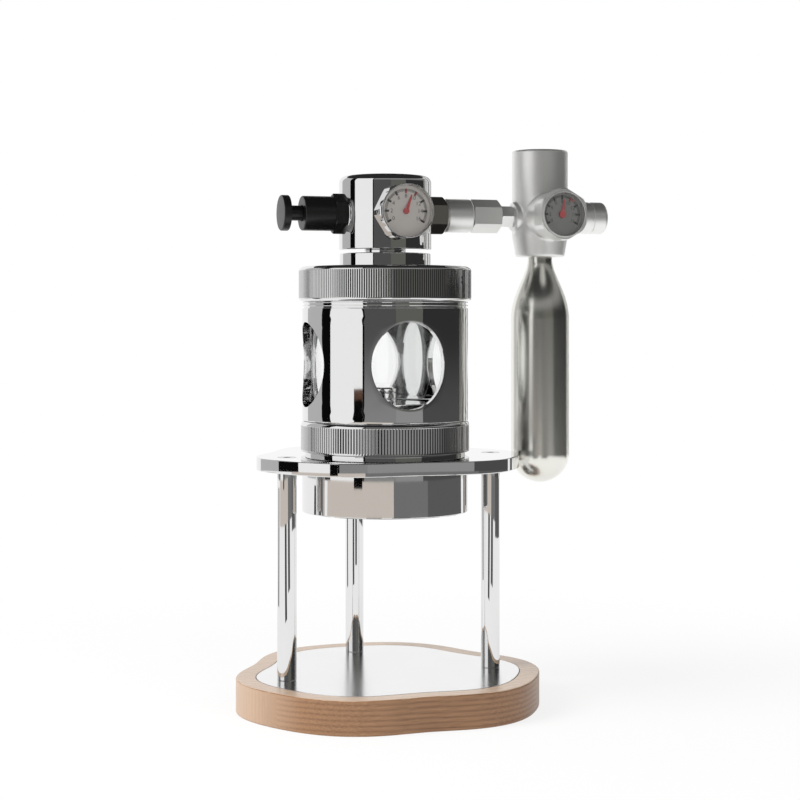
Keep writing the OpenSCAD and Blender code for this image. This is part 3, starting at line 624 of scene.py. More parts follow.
    def bevelled(
        self, width: float, rounds: int = 2, above: float = 35.0,
        where: Callable[[Vector], bool] | None = None,
    ) -> "Workpiece":
        """Rounds the sharp edges.

        Args:
            width: width of the rounding.
            rounds: its facets.
            above: least angle of a sharp edge, in degrees.
            where: says by an edge's middle whether it is rounded.

        Returns:
            The piece.
        """
        sharp = [
            edge
            for edge in self.mesh.edges
            if edge.calc_face_angle(0.0) > math.radians(above)
            and (where is None or where((edge.verts[0].co + edge.verts[1].co) / 2))
        ]
        bmesh.ops.bevel(
            self.mesh, geom=sharp, offset=width, offset_type="OFFSET", segments=rounds,
            profile=0.5, affect="EDGES", material=-1, clamp_overlap=True,
        )
        return self

    def beside(self, *others: "Workpiece") -> "Workpiece":
        """Takes in other pieces as they lie.

        Args:
            others: the pieces, which it uses up.

        Returns:
            The piece.
        """
        for other in others:
            loose = bpy.data.meshes.new("loose")
            other.mesh.to_mesh(loose)
            self.mesh.from_mesh(loose)
            other.mesh.free()
            bpy.data.meshes.remove(loose)
        return self

    def joined(self, other: "Workpiece", join: Join) -> "Workpiece":
        """Adds, cuts away or keeps what another piece covers.

        Args:
            other: the other piece, which it uses up.
            join: how the two are joined.

        Returns:
            The piece.
        """
        tool = other.shown("tool")
        self.evaluated({"operation": join.value, "solver": "EXACT", "object": tool}, "BOOLEAN")
        drop(tool)
        return self

    def bored(self, sides: int, radius: float, floor: float, height: float, x: float = 0.0) -> "Workpiece":
        """Cuts an upright hole with flat sides or a round wall, from its floor upwards."""
        return self.joined(Workpiece.prism(sides, radius, height).at(x, 0, floor), Join.CUT)

    def melted(self, voxel: float, passes: int) -> "Workpiece":
        """Rebuilds the surface and softens its inner corners.

        Args:
            voxel: size of a facet.
            passes: how often the surface is smoothed.

        Returns:
            The piece.
        """
        self.evaluated({"mode": "VOXEL", "voxel_size": voxel}, "REMESH")
        for _ in range(passes):
            bmesh.ops.smooth_vert(
                self.mesh, verts=self.mesh.verts[:], factor=0.5,
                use_axis_x=True, use_axis_y=True, use_axis_z=True,
            )
        return self

    def evaluated(self, settings: dict[str, Any], kind: str) -> "Workpiece":
        """Runs the piece through a modifier.

        Args:
            settings: the modifier's settings.
            kind: its type.

        Returns:
            The piece.
        """
        host = self.shown("host")
        modifier = host.modifiers.new("work", kind)
        for name, value in settings.items():
            setattr(modifier, name, value)
        result = bpy.data.meshes.new_from_object(host.evaluated_get(bpy.context.evaluated_depsgraph_get()))
        self.mesh = bmesh.new()
        self.mesh.from_mesh(result)
        bpy.data.meshes.remove(result)
        drop(host)
        return self

    def shown(self, name: str) -> bpy.types.Object:
        """Makes an object of the mesh and frees it.

        Args:
            name: name of the object and of its mesh.

        Returns:
            The object, in the scene.
        """
        data = bpy.data.meshes.new(name)
        self.mesh.to_mesh(data)
        self.mesh.free()
        made = bpy.data.objects.new(name, data)
        bpy.context.scene.collection.objects.link(made)
        return made

    def finished(
        self, name: str, finish: Finish, node: str, replaces: bool = True, crease: float = 30.0
    ) -> bpy.types.Object:
        """Makes the finished piece, in metres, shaded and dressed.

        Args:
            name: its name.
            finish: its finish.
            node: the solid that it follows.
            replaces: whether it stands for that solid.
            crease: angle above which an edge stays sharp, in degrees.

        Returns:
            The piece's object.
        """
        for face in self.mesh.faces:
            face.smooth = True
        for edge in self.mesh.edges:
            edge.smooth = edge.calc_face_angle(0.0) < math.radians(crease)
        made = self.in_metres().shown(name)
        made.data.materials.append(finish.material())
        made.modifiers.new("level_faces", "WEIGHTED_NORMAL").keep_sharp = True
        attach(made, frame["nodes"][node]["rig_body"])
        if replaces:
            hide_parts(node)
        log.info("%s: %d faces, %s", name, len(made.data.polygons), finish.name)
        return made


def drop(made: bpy.types.Object) -> None:
    """Removes an object and its mesh.

    Args:
        made: the object.
    """
    data = made.data
    bpy.data.objects.remove(made)
    bpy.data.meshes.remove(data)


def facing_left() -> Matrix:
    """Returns the frame whose Z axis runs to the left along the gas line."""
    return Matrix.Translation((0, 0, GAS_LINE_Z)) @ Matrix.Rotation(-math.pi / 2, 4, "Y")


def facing_right(x: float = 0.0) -> Matrix:
    """Returns the frame whose Z axis runs to the right along the gas line."""
    return Matrix.Translation((x, 0, GAS_LINE_Z)) @ Matrix.Rotation(math.pi / 2, 4, "Y")


def facing_front(x: float, out: float) -> Matrix:
    """Returns the frame whose Z axis runs to the front, from a distance out."""
    return Matrix.Translation((x, -out, GAS_LINE_Z)) @ Matrix.Rotation(math.pi / 2, 4, "X")


@dataclass
class Stand:
    """Wooden base with its inlay, three legs, the top plate and their screws."""

    mean_radius: float = 53.9
    swing: float = 3.55
    flattening: float = 1.5
    rim: float = 8.4
    pocket_gap: float = 0.05
    base_height: float = 14.0
    base_rounding: float = 0.6
    inlay_thickness: float = 2.5
    leg_radius: float = 4.0
    leg_rounding: float = 0.3
    leg_circle: float = 45.0
    leg_angles: tuple[float, ...] = (90.0, 189.5, -9.5)
    plate_bottom: float = 99.3
    plate_thickness: float = 5.4
    plate_rounding: float = 0.35
    plate_bore: float = 32.05
    head_radius: float = 4.0
    head_flat: float = 3.8
    head_height: float = 2.2
    screw_radius: float = 2.0
    screw_length: float = 9.0
    socket_radius: float = 1.6
    socket_depth: float = 1.5
    pan_levels: Triple = (1.2, 4.0, 14.0)
    recess: Pair = (4.1, 4.0)

    def outline(self, angle: float, grow: float = 0.0) -> Vector:
        """Gives a point of the lobed outline.

        Args:
            angle: angle about the axis, in radians.
            grow: distance outside the plate's outline.

        Returns:
            The point.
        """
        lobe = 3 * (angle - math.pi / 2)
        radius = self.mean_radius + self.swing * math.cos(lobe) - self.flattening * math.cos(2 * lobe)
        slope = 6 * self.flattening * math.sin(2 * lobe) - 3 * self.swing * math.sin(lobe)
        out = Vector((math.cos(angle), math.sin(angle), 0))
        side = Vector((math.sin(angle), -math.cos(angle), 0))
        return out * radius + (out * radius + side * slope).normalized() * grow

    def legs(self) -> list[Matrix]:
        """Returns the place of each leg's axis."""
        turns = [Matrix.Rotation(math.radians(angle), 4, "Z") for angle in self.leg_angles]
        return [turn @ Matrix.Translation((self.leg_circle, 0, 0)) for turn in turns]

    def base(self) -> None:
        """Makes the wooden base with its pocket and its screw holes, and the inlay."""
        wood = Workpiece.slab(lambda angle: self.outline(angle, self.rim), self.base_height)
        top = [face for face in wood.mesh.faces if face.normal.z > 0.9]
        pocket = self.rim - self.pocket_gap
        bmesh.ops.inset_region(wood.mesh, faces=top, thickness=pocket, use_even_offset=True)
        bmesh.ops.inset_region(wood.mesh, faces=top, thickness=0, depth=-self.inlay_thickness)
        wood.bevelled(self.base_rounding, 3, 60.0, lambda middle: middle.z in (0.0, self.base_height))
        radius, depth = self.recess
        for leg in self.legs():
            wood.joined(Workpiece.cylinder(0, radius, -1, depth, 48).moved(leg), Join.CUT)
        wood.finished("lobed_wooden_block", WOOD, "wood_base")
        inlay = Workpiece.slab(self.outline, self.inlay_thickness).bevelled(0.2, 2, 60.0)
        inlay.at(0, 0, self.base_height - self.inlay_thickness).finished("steel_inlay", INLAY, "base_inlay")

    def posts(self) -> None:
        """Makes the three legs."""
        low, high, rounding = self.base_height, self.plate_bottom, self.leg_rounding
        for leg, node in zip(self.legs(), ("rear_leg", "left_leg", "right_leg")):
            post = Workpiece.cylinder(0, self.leg_radius, low, high, 72, rounding, rounding)
            post.moved(leg).finished(node.replace("leg", "post"), CHROME, node)

    def plate(self) -> None:
        """Makes the top plate with its bore and its countersinks."""
        top = self.plate_bottom + self.plate_thickness
        plate = Workpiece.slab(self.outline, self.plate_thickness).bevelled(self.plate_rounding, 3, 60.0)
        plate.at(0, 0, self.plate_bottom).bored(144, self.plate_bore, self.plate_bottom - 5, 20.0)
        wide, low = self.head_radius + 0.1, top - self.head_height
        sink = [(0, low), (self.screw_radius, low), (wide, top), (wide, top + 1), (0, top + 1)]
        for leg in self.legs():
            plate.joined(Workpiece.turned(sink, 48).moved(leg), Join.CUT)
        plate.finished("lobed_top_plate", CHROME, "top_plate")

    def screws(self) -> None:
        """Makes the countersunk screws of the plate and the pan-head screws of the base."""
        top = self.plate_bottom + self.plate_thickness
        low, thin, flat = top - self.head_height, self.screw_radius, self.head_flat
        tip, edge = low - self.screw_length, (self.head_radius, top - 0.15, 0.1)
        countersunk = [(0, tip), (thin, tip), (thin, low), edge, (flat, top), (0, top)]
        bottom, seat, tip = self.pan_levels
        pan_headed = [(0, bottom), (flat, bottom, 0.7), (flat, seat), (thin, seat), (thin, tip), (0, tip)]
        socket, depth = self.socket_radius, self.socket_depth
        sunk, pan = Workpiece(), Workpiece()
        for leg in self.legs():
            screw = Workpiece.turned(countersunk, 48).bored(6, socket, top - depth, 5.0)
            sunk.beside(screw.moved(leg))
            screw = Workpiece.turned(pan_headed, 48).bored(6, socket, bottom, depth)
            pan.beside(screw.moved(leg))
        sunk.finished("countersunk_screws", SCREW_STEEL, "plate_screws")
        pan.finished("pan_head_screws", SCREW_STEEL, "base_screws")

    def build(self) -> None:
        """Builds every piece of the stand."""
        self.base()
        self.posts()
        self.plate()
        self.screws()


@dataclass
class KnurledRing:
    """A ring with fine ribs along its rim.

    Attributes:
        corners: its profile.
        radius: radius over the ribs.
        band: lowest and highest point of the ribs.
        ribs: number of ribs.
        depth: depth of a groove.
        groove: share of the pitch that a groove takes.
        painted_shade_band: depth of the outer and the inner side of the dark band behind the grooves, which is
            painted shade.
    """

    corners: Sequence[Corner]
    radius: float
    band: Pair
    ribs: int
    depth: float = 0.32
    groove: float = 0.44
    painted_shade_band: Pair = (0.1, 0.5)

    def build(self) -> Workpiece:
        """Turns the ring and presses its grooves in.

        Returns:
            The piece.
        """
        ring = Workpiece.turned(self.corners, 3 * self.ribs, 2)
        step = math.tau / (3 * self.ribs)
        low, high = self.band
        # Three columns of points make one pitch: the first sinks to the groove's bottom, and the other two
        # move to the groove's sides.
        for vert in ring.mesh.verts:
            column = round(math.atan2(vert.co.y, vert.co.x) / step) % 3
            if column:
                side = 1 if column == 1 else -1
                vert.co.rotate(Matrix.Rotation(side * step * (1.5 * self.groove - 1), 3, "Z"))
            elif low <= vert.co.z <= high and vert.co.xy.length > self.radius - 0.01:
                vert.co.xy *= 1 - self.depth / self.radius
        return ring

    def dress(self, side: str) -> None:
        """Finishes the ring and the dark band behind its grooves, which paints the shade in them.

        Args:
            side: upper or lower, the first part of its node's name.
        """
        self.build().finished(side + "_knurled_ring", CHROME, side + "_ring")
        # The band is painted shade: a dark cylinder just inside the ribs that shows only in the grooves.
        low, high = self.band
        shallow, deep = self.painted_shade_band
        band = Workpiece.cylinder(self.radius - deep, self.radius - shallow, low, high, 180)
        band.finished(side + "_ring_painted_groove_shade", PAINTED_GROOVE_SHADE, side + "_ring", False)


@dataclass
class Group:
    """Group body, filter holder and the lower knurled ring."""

    plate_bottom: float = 99.3
    bore: Pair = (24.0, 101.0)
    gasket_seat: Pair = (28.7, 105.5)
    throat: Pair = (30.5, 32.0)
    spigot: Triple = (31.25, 108.0, 110.5)
    collar_radius: float = 33.6
    collar_low: float = 104.7
    collar_top: float = 105.9
    holder_bore: Pair = (27.0, 29.0)
    holder_ledge: float = 97.2
    holder_thread: Pair = (30.45, 105.3)
    holder_radius: float = 34.9
    holder_bottom: float = 80.8
    ring_bore: Pair = (32.3, 33.7)
    ring_radius: float = 35.3
    ring_bottom: float = 106.0
    ring_top: float = 118.7

    def body(self) -> None:
        """Makes the group body with its collar on the plate."""
        (inner, roof), (seat, ledge), (throat, wall) = self.bore, self.gasket_seat, self.throat
        collar, low, top, foot = self.collar_radius, self.collar_low, self.collar_top, self.plate_bottom
        spigot, shoulder, end = self.spigot
        corners = [
            (inner, roof), (seat, roof), (seat, ledge), (throat, ledge), (throat, foot), (wall, foot, 0.2),
            (wall, low), (collar, low), (collar, top, 0.3), (wall, top), (wall, shoulder), (spigot, shoulder),
            (spigot, end), (inner, end),
        ]
        Workpiece.turned(corners, 144).finished("group_collar", CHROME, "group_body")

    def holder(self) -> None:
        """Makes the filter holder."""
        radius, low, top = self.holder_radius, self.holder_bottom, self.plate_bottom - 0.1
        (inner, seat), (thread, end), ledge = self.holder_bore, self.holder_thread, self.holder_ledge
        corners = [
            (inner, low, 0.4), (radius, low, 0.5), (radius, top, 0.3), (thread, top), (thread, end),
            (seat, end), (seat, ledge), (inner, ledge),
        ]
        Workpiece.turned(corners, 180).finished("filter_holder_shell", CHROME, "filter_holder")

    def ring(self) -> None:
        """Makes the lower knurled ring."""
        low, top, radius = self.ring_bottom, self.ring_top, self.ring_radius
        inner, wall = self.ring_bore
        corners = [
            (inner, low), (radius, low, 0.25), (radius, low + 0.7), (radius, low + 1.0), (radius, top - 1.9),
            (radius, top - 1.6), (radius, top - 1.2, 0.3), (radius - 0.6, top, 0.3), (wall, top),
            (wall, low + 1.4), (inner, low + 1.4),
        ]
        KnurledRing(corners, radius, (low + 0.9, top - 1.8), 180).dress("lower")

    def build(self) -> None:
        """Builds every piece of the group."""
        self.body()
        self.holder()
        self.ring()


@dataclass
class Chamber:
    """Windowed sleeve, glass tube and what is in it, the upper ring and the lid."""

    outer: float = 34.8
    inner: float = 31.3
    low: float = 118.8
    high: float = 165.8
    thread_radius: float = 33.4
    thread_low: float = 108.0
    thread_top: float = 175.0
    window: Pair = (30.9, 35.1)
    window_edge: float = 0.4
    band_top: float = 168.4
    band_groove: float = 0.7
    tube: Pair = (26.0, 30.9)
    tube_levels: Pair = (112.0, 172.0)
    disc: Pair = (2.55, 20.0)
    disc_levels: Pair = (124.6, 126.2)
    hub_radius: float = 4.6
    hub_grooves: Pair = (127.78, 130.34)
    hub_top: float = 132.6
    ring_bore: Pair = (26.0, 33.7)
    ring_radius: float = 36.2
    ring_bottom: float = 168.5
    ring_top: float = 183.1
    collar_radius: float = 19.1
    collar_top: float = 188.6
    lid_bore: Pair = (2.0, 6.05)
    lid_seat: float = 178.1
    lid_spigot: Pair = (30.9, 173.5)
    lid_plate: Triple = (33.3, 175.1, 180.8)
    dot: Pair = (0.42, 0.23)
    dot_angle: float = -45.5
    dot_heights: Pair = (178.3, 176.3)

    def wall(self, radius: float, steps: int = 24) -> Workpiece:
        """Makes a quarter of a round wall, with its window in the middle.

        Args:
            radius: radius of the wall.
            steps: facets along each side.

        Returns:
            The quarter that faces -Y.
        """
        piece = Workpiece()
        mesh = piece.mesh
        middle, half = (self.low + self.high) / 2, (self.high - self.low) / 2
        # The window's oval and the quarter's border are loops of equal count, which are bridged.
        for oval in (True, False):
            for vert in bmesh.ops.create_circle(mesh, segments=4 * steps, radius=1.0)["verts"]:
                angle = math.atan2(vert.co.y, vert.co.x)
                if oval:
                    across, up = math.cos(angle) * self.window[0] / 2, math.sin(angle) * self.window[1] / 2
                    turn = math.asin(across / radius)
                else:
                    reach = max(abs(math.cos(angle)), abs(math.sin(angle)))
                    turn, up = math.cos(angle) / reach * math.pi / 4, math.sin(angle) / reach * half
                vert.co = (radius * math.sin(turn), -radius * math.cos(turn), middle + up)
        bridged = bmesh.ops.bridge_loops(mesh, edges=mesh.edges[:])
        bmesh.ops.subdivide_edges(mesh, edges=bridged["edges"], cuts=5, use_grid_fill=True)
        for vert in mesh.verts:
            vert.co.xy *= radius / vert.co.xy.length
        return piece

    def sleeve(self) -> None:
        """Makes the sleeve with its four windows and its ringed band."""
        wall = Workpiece()
        turns = [quarter * math.pi / 2 for quarter in range(4)]
        for radius in (self.outer, self.inner):
            for turn in turns:
                wall.beside(self.wall(radius).moved(Matrix.Rotation(turn, 4, "Z")))
        bmesh.ops.remove_doubles(wall.mesh, verts=wall.mesh.verts[:], dist=0.001)
        rims = [edge for edge in wall.mesh.edges if edge.is_boundary]
        for turn in turns:
            side = Vector((math.sin(turn), -math.cos(turn), 0))
            bmesh.ops.bridge_loops(wall.mesh, edges=[edge for edge in rims if self.in_window(edge, side)])
        for height in (self.low, self.high):
            ends = [edge for edge in rims if all(abs(vert.co.z - height) < 0.01 for vert in edge.verts)]
            bmesh.ops.bridge_loops(wall.mesh, edges=ends)
        wall.tidied().bevelled(self.window_edge, 3, 50.0)
        wall.finished("windowed_sleeve", CHROME, "chamber_sleeve")
        inner, outer, thread = self.inner, self.outer, self.thread_radius
        low, top, end, deep = self.high, self.band_top, self.thread_top, outer - self.band_groove
        step = (top - low) / 4
        band = [
            (inner, low), (deep, low), (deep, low + step), (outer, low + step, 0.25),
            (outer, low + 2 * step, 0.25), (deep, low + 2 * step), (deep, low + 3 * step),
            (outer, low + 3 * step, 0.25), (outer, top, 0.25), (thread, top), (thread, end), (inner, end),
        ]
        foot = Workpiece.cylinder(inner, thread, self.thread_low, self.low, 144)
        Workpiece.turned(band, 144).beside(foot).finished("sleeve_ends", CHROME, "chamber_sleeve", False)

    def in_window(self, edge: bmesh.types.BMEdge, side: Vector) -> bool:
        """Says whether an edge belongs to the window on a side."""
        middle = (edge.verts[0].co + edge.verts[1].co) / 2
        return middle.dot(side) > self.inner * 0.8 and self.low + 1 < middle.z < self.high - 1

    def inside(self) -> None:
        """Makes the glass tube, the disc at its bottom and the hub on that."""
        (inner, outer), (low, top) = self.tube, self.tube_levels
        glass = [(inner, low, 0.4), (outer, low, 0.4), (outer, top, 0.4), (inner, top, 0.4)]
        Workpiece.turned(glass, 192).finished("clear_glass_tube", GLASS, "glass_tube")
        (inner, outer), (low, top) = self.disc, self.disc_levels
        disc = Workpiece.cylinder(inner, outer, low, top, 144, 0.3, 0.3)
        disc.finished("bright_disc", CHROME, "diffuser_disc")
        wide, thin, end = self.hub_radius, self.hub_radius - 0.6, self.hub_top
        hub = [(0, top), (wide, top)]
        for groove in self.hub_grooves:
            hub += [(wide, groove - 0.3, 0.15), (thin, groove), (wide, groove + 0.3, 0.15)]
        hub += [(wide, end - 0.6, 0.2), (thin, end), (0, end)]
        Workpiece.turned(hub, 72).finished("banded_hub", CHROME, "diffuser_hub")

    def ring(self) -> None:
        """Makes the upper knurled ring with its two index dots."""
        low, top, radius = self.ring_bottom, self.ring_top, self.ring_radius
        inner, wall = self.ring_bore
        corners = [
            (wall, low), (radius - 0.9, low, 0.3), (radius, low + 0.9, 0.3), (radius, low + 1.3),
            (radius, low + 1.6), (radius, top - 1.9), (radius, top - 1.6), (radius, top - 1.2, 0.35),
            (radius - 1.2, top, 0.4), (inner, top, 0.3), (inner, top - 2.2), (wall, top - 2.2),
        ]
        KnurledRing(corners, radius, (low + 1.5, top - 1.8), 230).dress("upper")
        turn = Matrix.Rotation(math.radians(self.dot_angle), 4, "Z")
        dots = Workpiece()
        for height in self.dot_heights:
            out = turn @ Matrix.Translation((radius - 0.2, 0, height)) @ Matrix.Rotation(math.pi / 2, 4, "Y")
            dots.beside(Workpiece.prism(16, *self.dot).moved(out))
        dots.finished("index_dots", DARK_INK, "upper_ring", False)

    def lid(self) -> None:
        """Makes the lid with its collar."""
        (inner, outer), seat, (spigot, low) = self.lid_bore, self.lid_seat, self.lid_spigot
        collar, top, (plate, under, over) = self.collar_radius, self.collar_top, self.lid_plate
        corners = [
            (inner, low), (spigot, low), (spigot, under), (plate, under), (plate, over), (collar, over),
            (collar, top, 0.4), (outer, top), (outer, seat), (inner, seat),
        ]
        Workpiece.turned(corners, 144).finished("lid_with_collar", CHROME, "chamber_lid")

    def build(self) -> None:
        """Builds every piece of the chamber."""
        self.sleeve()
        self.inside()
        self.ring()
        self.lid()


@dataclass
class Head:
    """Head with its neck."""

    radius: float = 19.4
    low: float = 190.1
    top: float = 221.1
    foot: float = 0.4
    edge: float = 3.0
    passage: float = 2.0
    spigot_radius: float = 6.0
    spigot_levels: Pair = (178.2, 198.1)
    neck_radius: float = 8.7
    neck_low: float = 188.6
    nut_seat: Pair = (18.2, 8.3)

    def build(self) -> None:
        """Builds the head with the flat seat of its nut, and the neck."""
        body = Workpiece.cylinder(0, self.radius, self.low, self.top, 240, self.foot, self.edge, rounds=6)
        start, radius = self.nut_seat
        body.joined(Workpiece.prism(96, radius, 10.0).moved(facing_right(start)), Join.CUT)
        body.finished("round_head", CHROME, "head_body")
        low, top, wide = self.neck_low, self.low, self.neck_radius
        (start, end), inner, outer = self.spigot_levels, self.passage, self.spigot_radius
        neck = [
            (inner, start), (outer, start), (outer, low), (wide, low, 0.2), (wide, top, 0.2), (outer, top),
            (outer, end), (inner, end),
        ]
        Workpiece.turned(neck, 96).finished("neck_of_head", CHROME, "head_stem")


@dataclass
class Gauge:
    """A round gauge; its frame's Z axis points out of the dial.

    Attributes:
        side: first part of its nodes' names.
        frame: its place.
        hexagon: corner radius, length and turn of the hexagon.
        bezel: radius of the bezel outside and inside.
        length: length of the case.
        metal: finish of the case.
        paper: finish of the dial.
        ticks: outer radius of the scale.
        numerals: radius of the numbers, and their height.
        red_from: reading from which the scale is red.
        red_to: reading up to which it is.
        reading: reading at rest.
        hub: radius of the needle's hub.
        red_fine: whether the fine lines are red there too.
        full: highest reading.
        depth: depth of the dial's back below the front.
        dial_thickness: thickness of the dial.
        ink: thickness of the print.
        ink_level: height of the print's middle over the dial's back.
        needle_level: height of the needle over the dial's back.
        needle_ends: reach and tail of the needle, as shares of the scale's radius.
        gap: clearance of the dial and the lens in the bezel.
        stem: radius, lower and upper end of the stem.
        axle_hole: radius of the dial's hole.
        lens: thickness of the lens, and its distance from the front.
        numbered_line: length and width of a numbered line.
        fine_line: length and width of a fine line.
    """

    side: str
    frame: Matrix
    hexagon: Triple
    bezel: Pair
    length: float
    metal: Finish
    paper: Finish
    ticks: float
    numerals: Pair
    red_from: float
    red_to: float
    reading: float
    hub: float
    red_fine: bool = False
    full: int = 16
    depth: float = 4.0
    dial_thickness: float = 0.6
    ink: float = 0.03
    ink_level: float = 0.615
    needle_level: float = 1.1
    needle_ends: Pair = (0.78, 0.06)
    stem: Triple = (4.4, -8.0, 0.1)
    axle_hole: float = 0.55
    gap: float = 0.05
    lens: Pair = (1.0, 0.3)
    numbered_line: Pair = (1.9, 0.85)
    fine_line: Pair = (1.1, 0.24)

    @property
    def floor(self) -> float:
        """Returns the height of the dial's back."""
        return self.length - self.depth

    def turn(self, reading: float) -> float:
        """Returns the angle of a reading, in radians."""
        return math.radians(210 - 240 * reading / self.full)

    def case(self) -> None:
        """Makes the case: a hexagon, a bezel and a stem."""
        radius, length, turn = self.hexagon
        outer, inner = self.bezel
        trimmed = radius * 0.955
        trim = [
            (0, 0), (trimmed - 0.5, 0), (trimmed, 0.4), (trimmed, length - 0.5, 0.3),
            (trimmed - 0.5, length), (0, length),
        ]
        case = Workpiece.prism(6, radius, length, turn).joined(Workpiece.turned(trim, 144), Join.KEEP)
        case.bored(144, inner, self.floor, 20.0)
        rim = Workpiece.cylinder(inner - 0.01, outer, self.floor, self.length, 144, 0.0, 0.25, 0.15)
        case.beside(rim, Workpiece.cylinder(0, *self.stem, 48))
        case.moved(self.frame).finished(self.side + "_bezel", self.metal, self.side + "_gauge_case")

    def mark(self, reading: float, length: float, width: float) -> Workpiece:
        """Makes one line of the scale.

        Args:
            reading: the reading that it marks.
            length: its length.
            width: its width.

        Returns:
            The line.
        """
        line = Workpiece()
        size = Matrix.Diagonal((length, width, self.ink, 1.0))
        bmesh.ops.create_cube(line.mesh, size=1.0, matrix=size)
        turn = Matrix.Rotation(self.turn(reading), 4, "Z")
        out = Matrix.Translation((self.ticks - length / 2, 0, self.floor + self.ink_level))
        return line.moved(self.frame @ turn @ out)

    def scale(self) -> None:
        """Makes the printed scale with its numbers."""
        dark, red, fine = Workpiece(), Workpiece(), Workpiece()
        for step in range(self.full * 5 + 1):
            reading, numbered = step / 5, step % 10 == 0
            in_red = self.red_from <= reading <= self.red_to and (numbered or self.red_fine)
            ink = red if in_red else dark if numbered else fine
            ink.beside(self.mark(reading, *(self.numbered_line if numbered else self.fine_line)))
        radius, height = self.numerals
        level = self.floor + self.ink_level
        for number in range(0, self.full + 1, 2):
            turn = self.turn(number)
            place = Matrix.Translation((radius * math.cos(turn), radius * math.sin(turn), level))
            fine.beside(Workpiece.lettering(str(number), height, self.ink).moved(self.frame @ place))
        node = self.side + "_gauge_dial"
        dark.finished(self.side + "_scale", DARK_INK, node, False)
        red.finished(self.side + "_red_scale", RED_INK, node, False)
        fine.finished(self.side + "_numbers", FAINT_INK, node, False)

    def face(self) -> None:
        """Makes the dial and the lens over it."""
        radius, floor = self.bezel[1] - self.gap, self.floor
        dial = Workpiece.cylinder(self.axle_hole, radius, floor, floor + self.dial_thickness, 96, edge=0.1)
        dial.moved(self.frame).finished(self.side + "_dial_face", self.paper, self.side + "_gauge_dial")
        thickness, sunk = self.lens
        front = self.length - sunk
        lens = Workpiece.cylinder(0, radius, front - thickness, front, 96, edge=0.2)
        lens.moved(self.frame).finished(self.side + "_lens_glass", GLASS, self.side + "_gauge_lens")

    def needle(self) -> None:
        """Makes the tapered needle with its hub."""
        reach, tail = (self.ticks * share for share in self.needle_ends)
        along = Matrix.Rotation(math.pi / 2, 4, "Y") @ Matrix.Rotation(math.pi / 4, 4, "Z")
        blade = Workpiece()
        bmesh.ops.create_cone(
            blade.mesh, cap_ends=True, segments=4, radius1=1.2, radius2=0.35, depth=reach + tail,
            matrix=Matrix.Translation(((reach - tail) / 2, 0, 0)) @ along,
        )
        bmesh.ops.scale(blade.mesh, vec=(1, 1, 0.3), verts=blade.mesh.verts[:])
        profile = [(0, -1.2), (0.45, -1.2), (0.45, -0.2), (self.hub, -0.2), (self.hub, 0.4, 0.25), (0, 0.4)]
        blade.bevelled(0.06, 2).beside(Workpiece.turned(profile, 48))
        out = Matrix.Translation((0, 0, self.floor + self.needle_level))
        blade.moved(self.frame @ out @ Matrix.Rotation(self.turn(self.reading), 4, "Z"))
        blade.finished(self.side + "_red_needle", RED_PAINT, self.side + "_gauge_needle")

    def build(self) -> None:
        """Builds every piece of the gauge."""
        self.case()
        self.scale()
        self.face()
        self.needle()


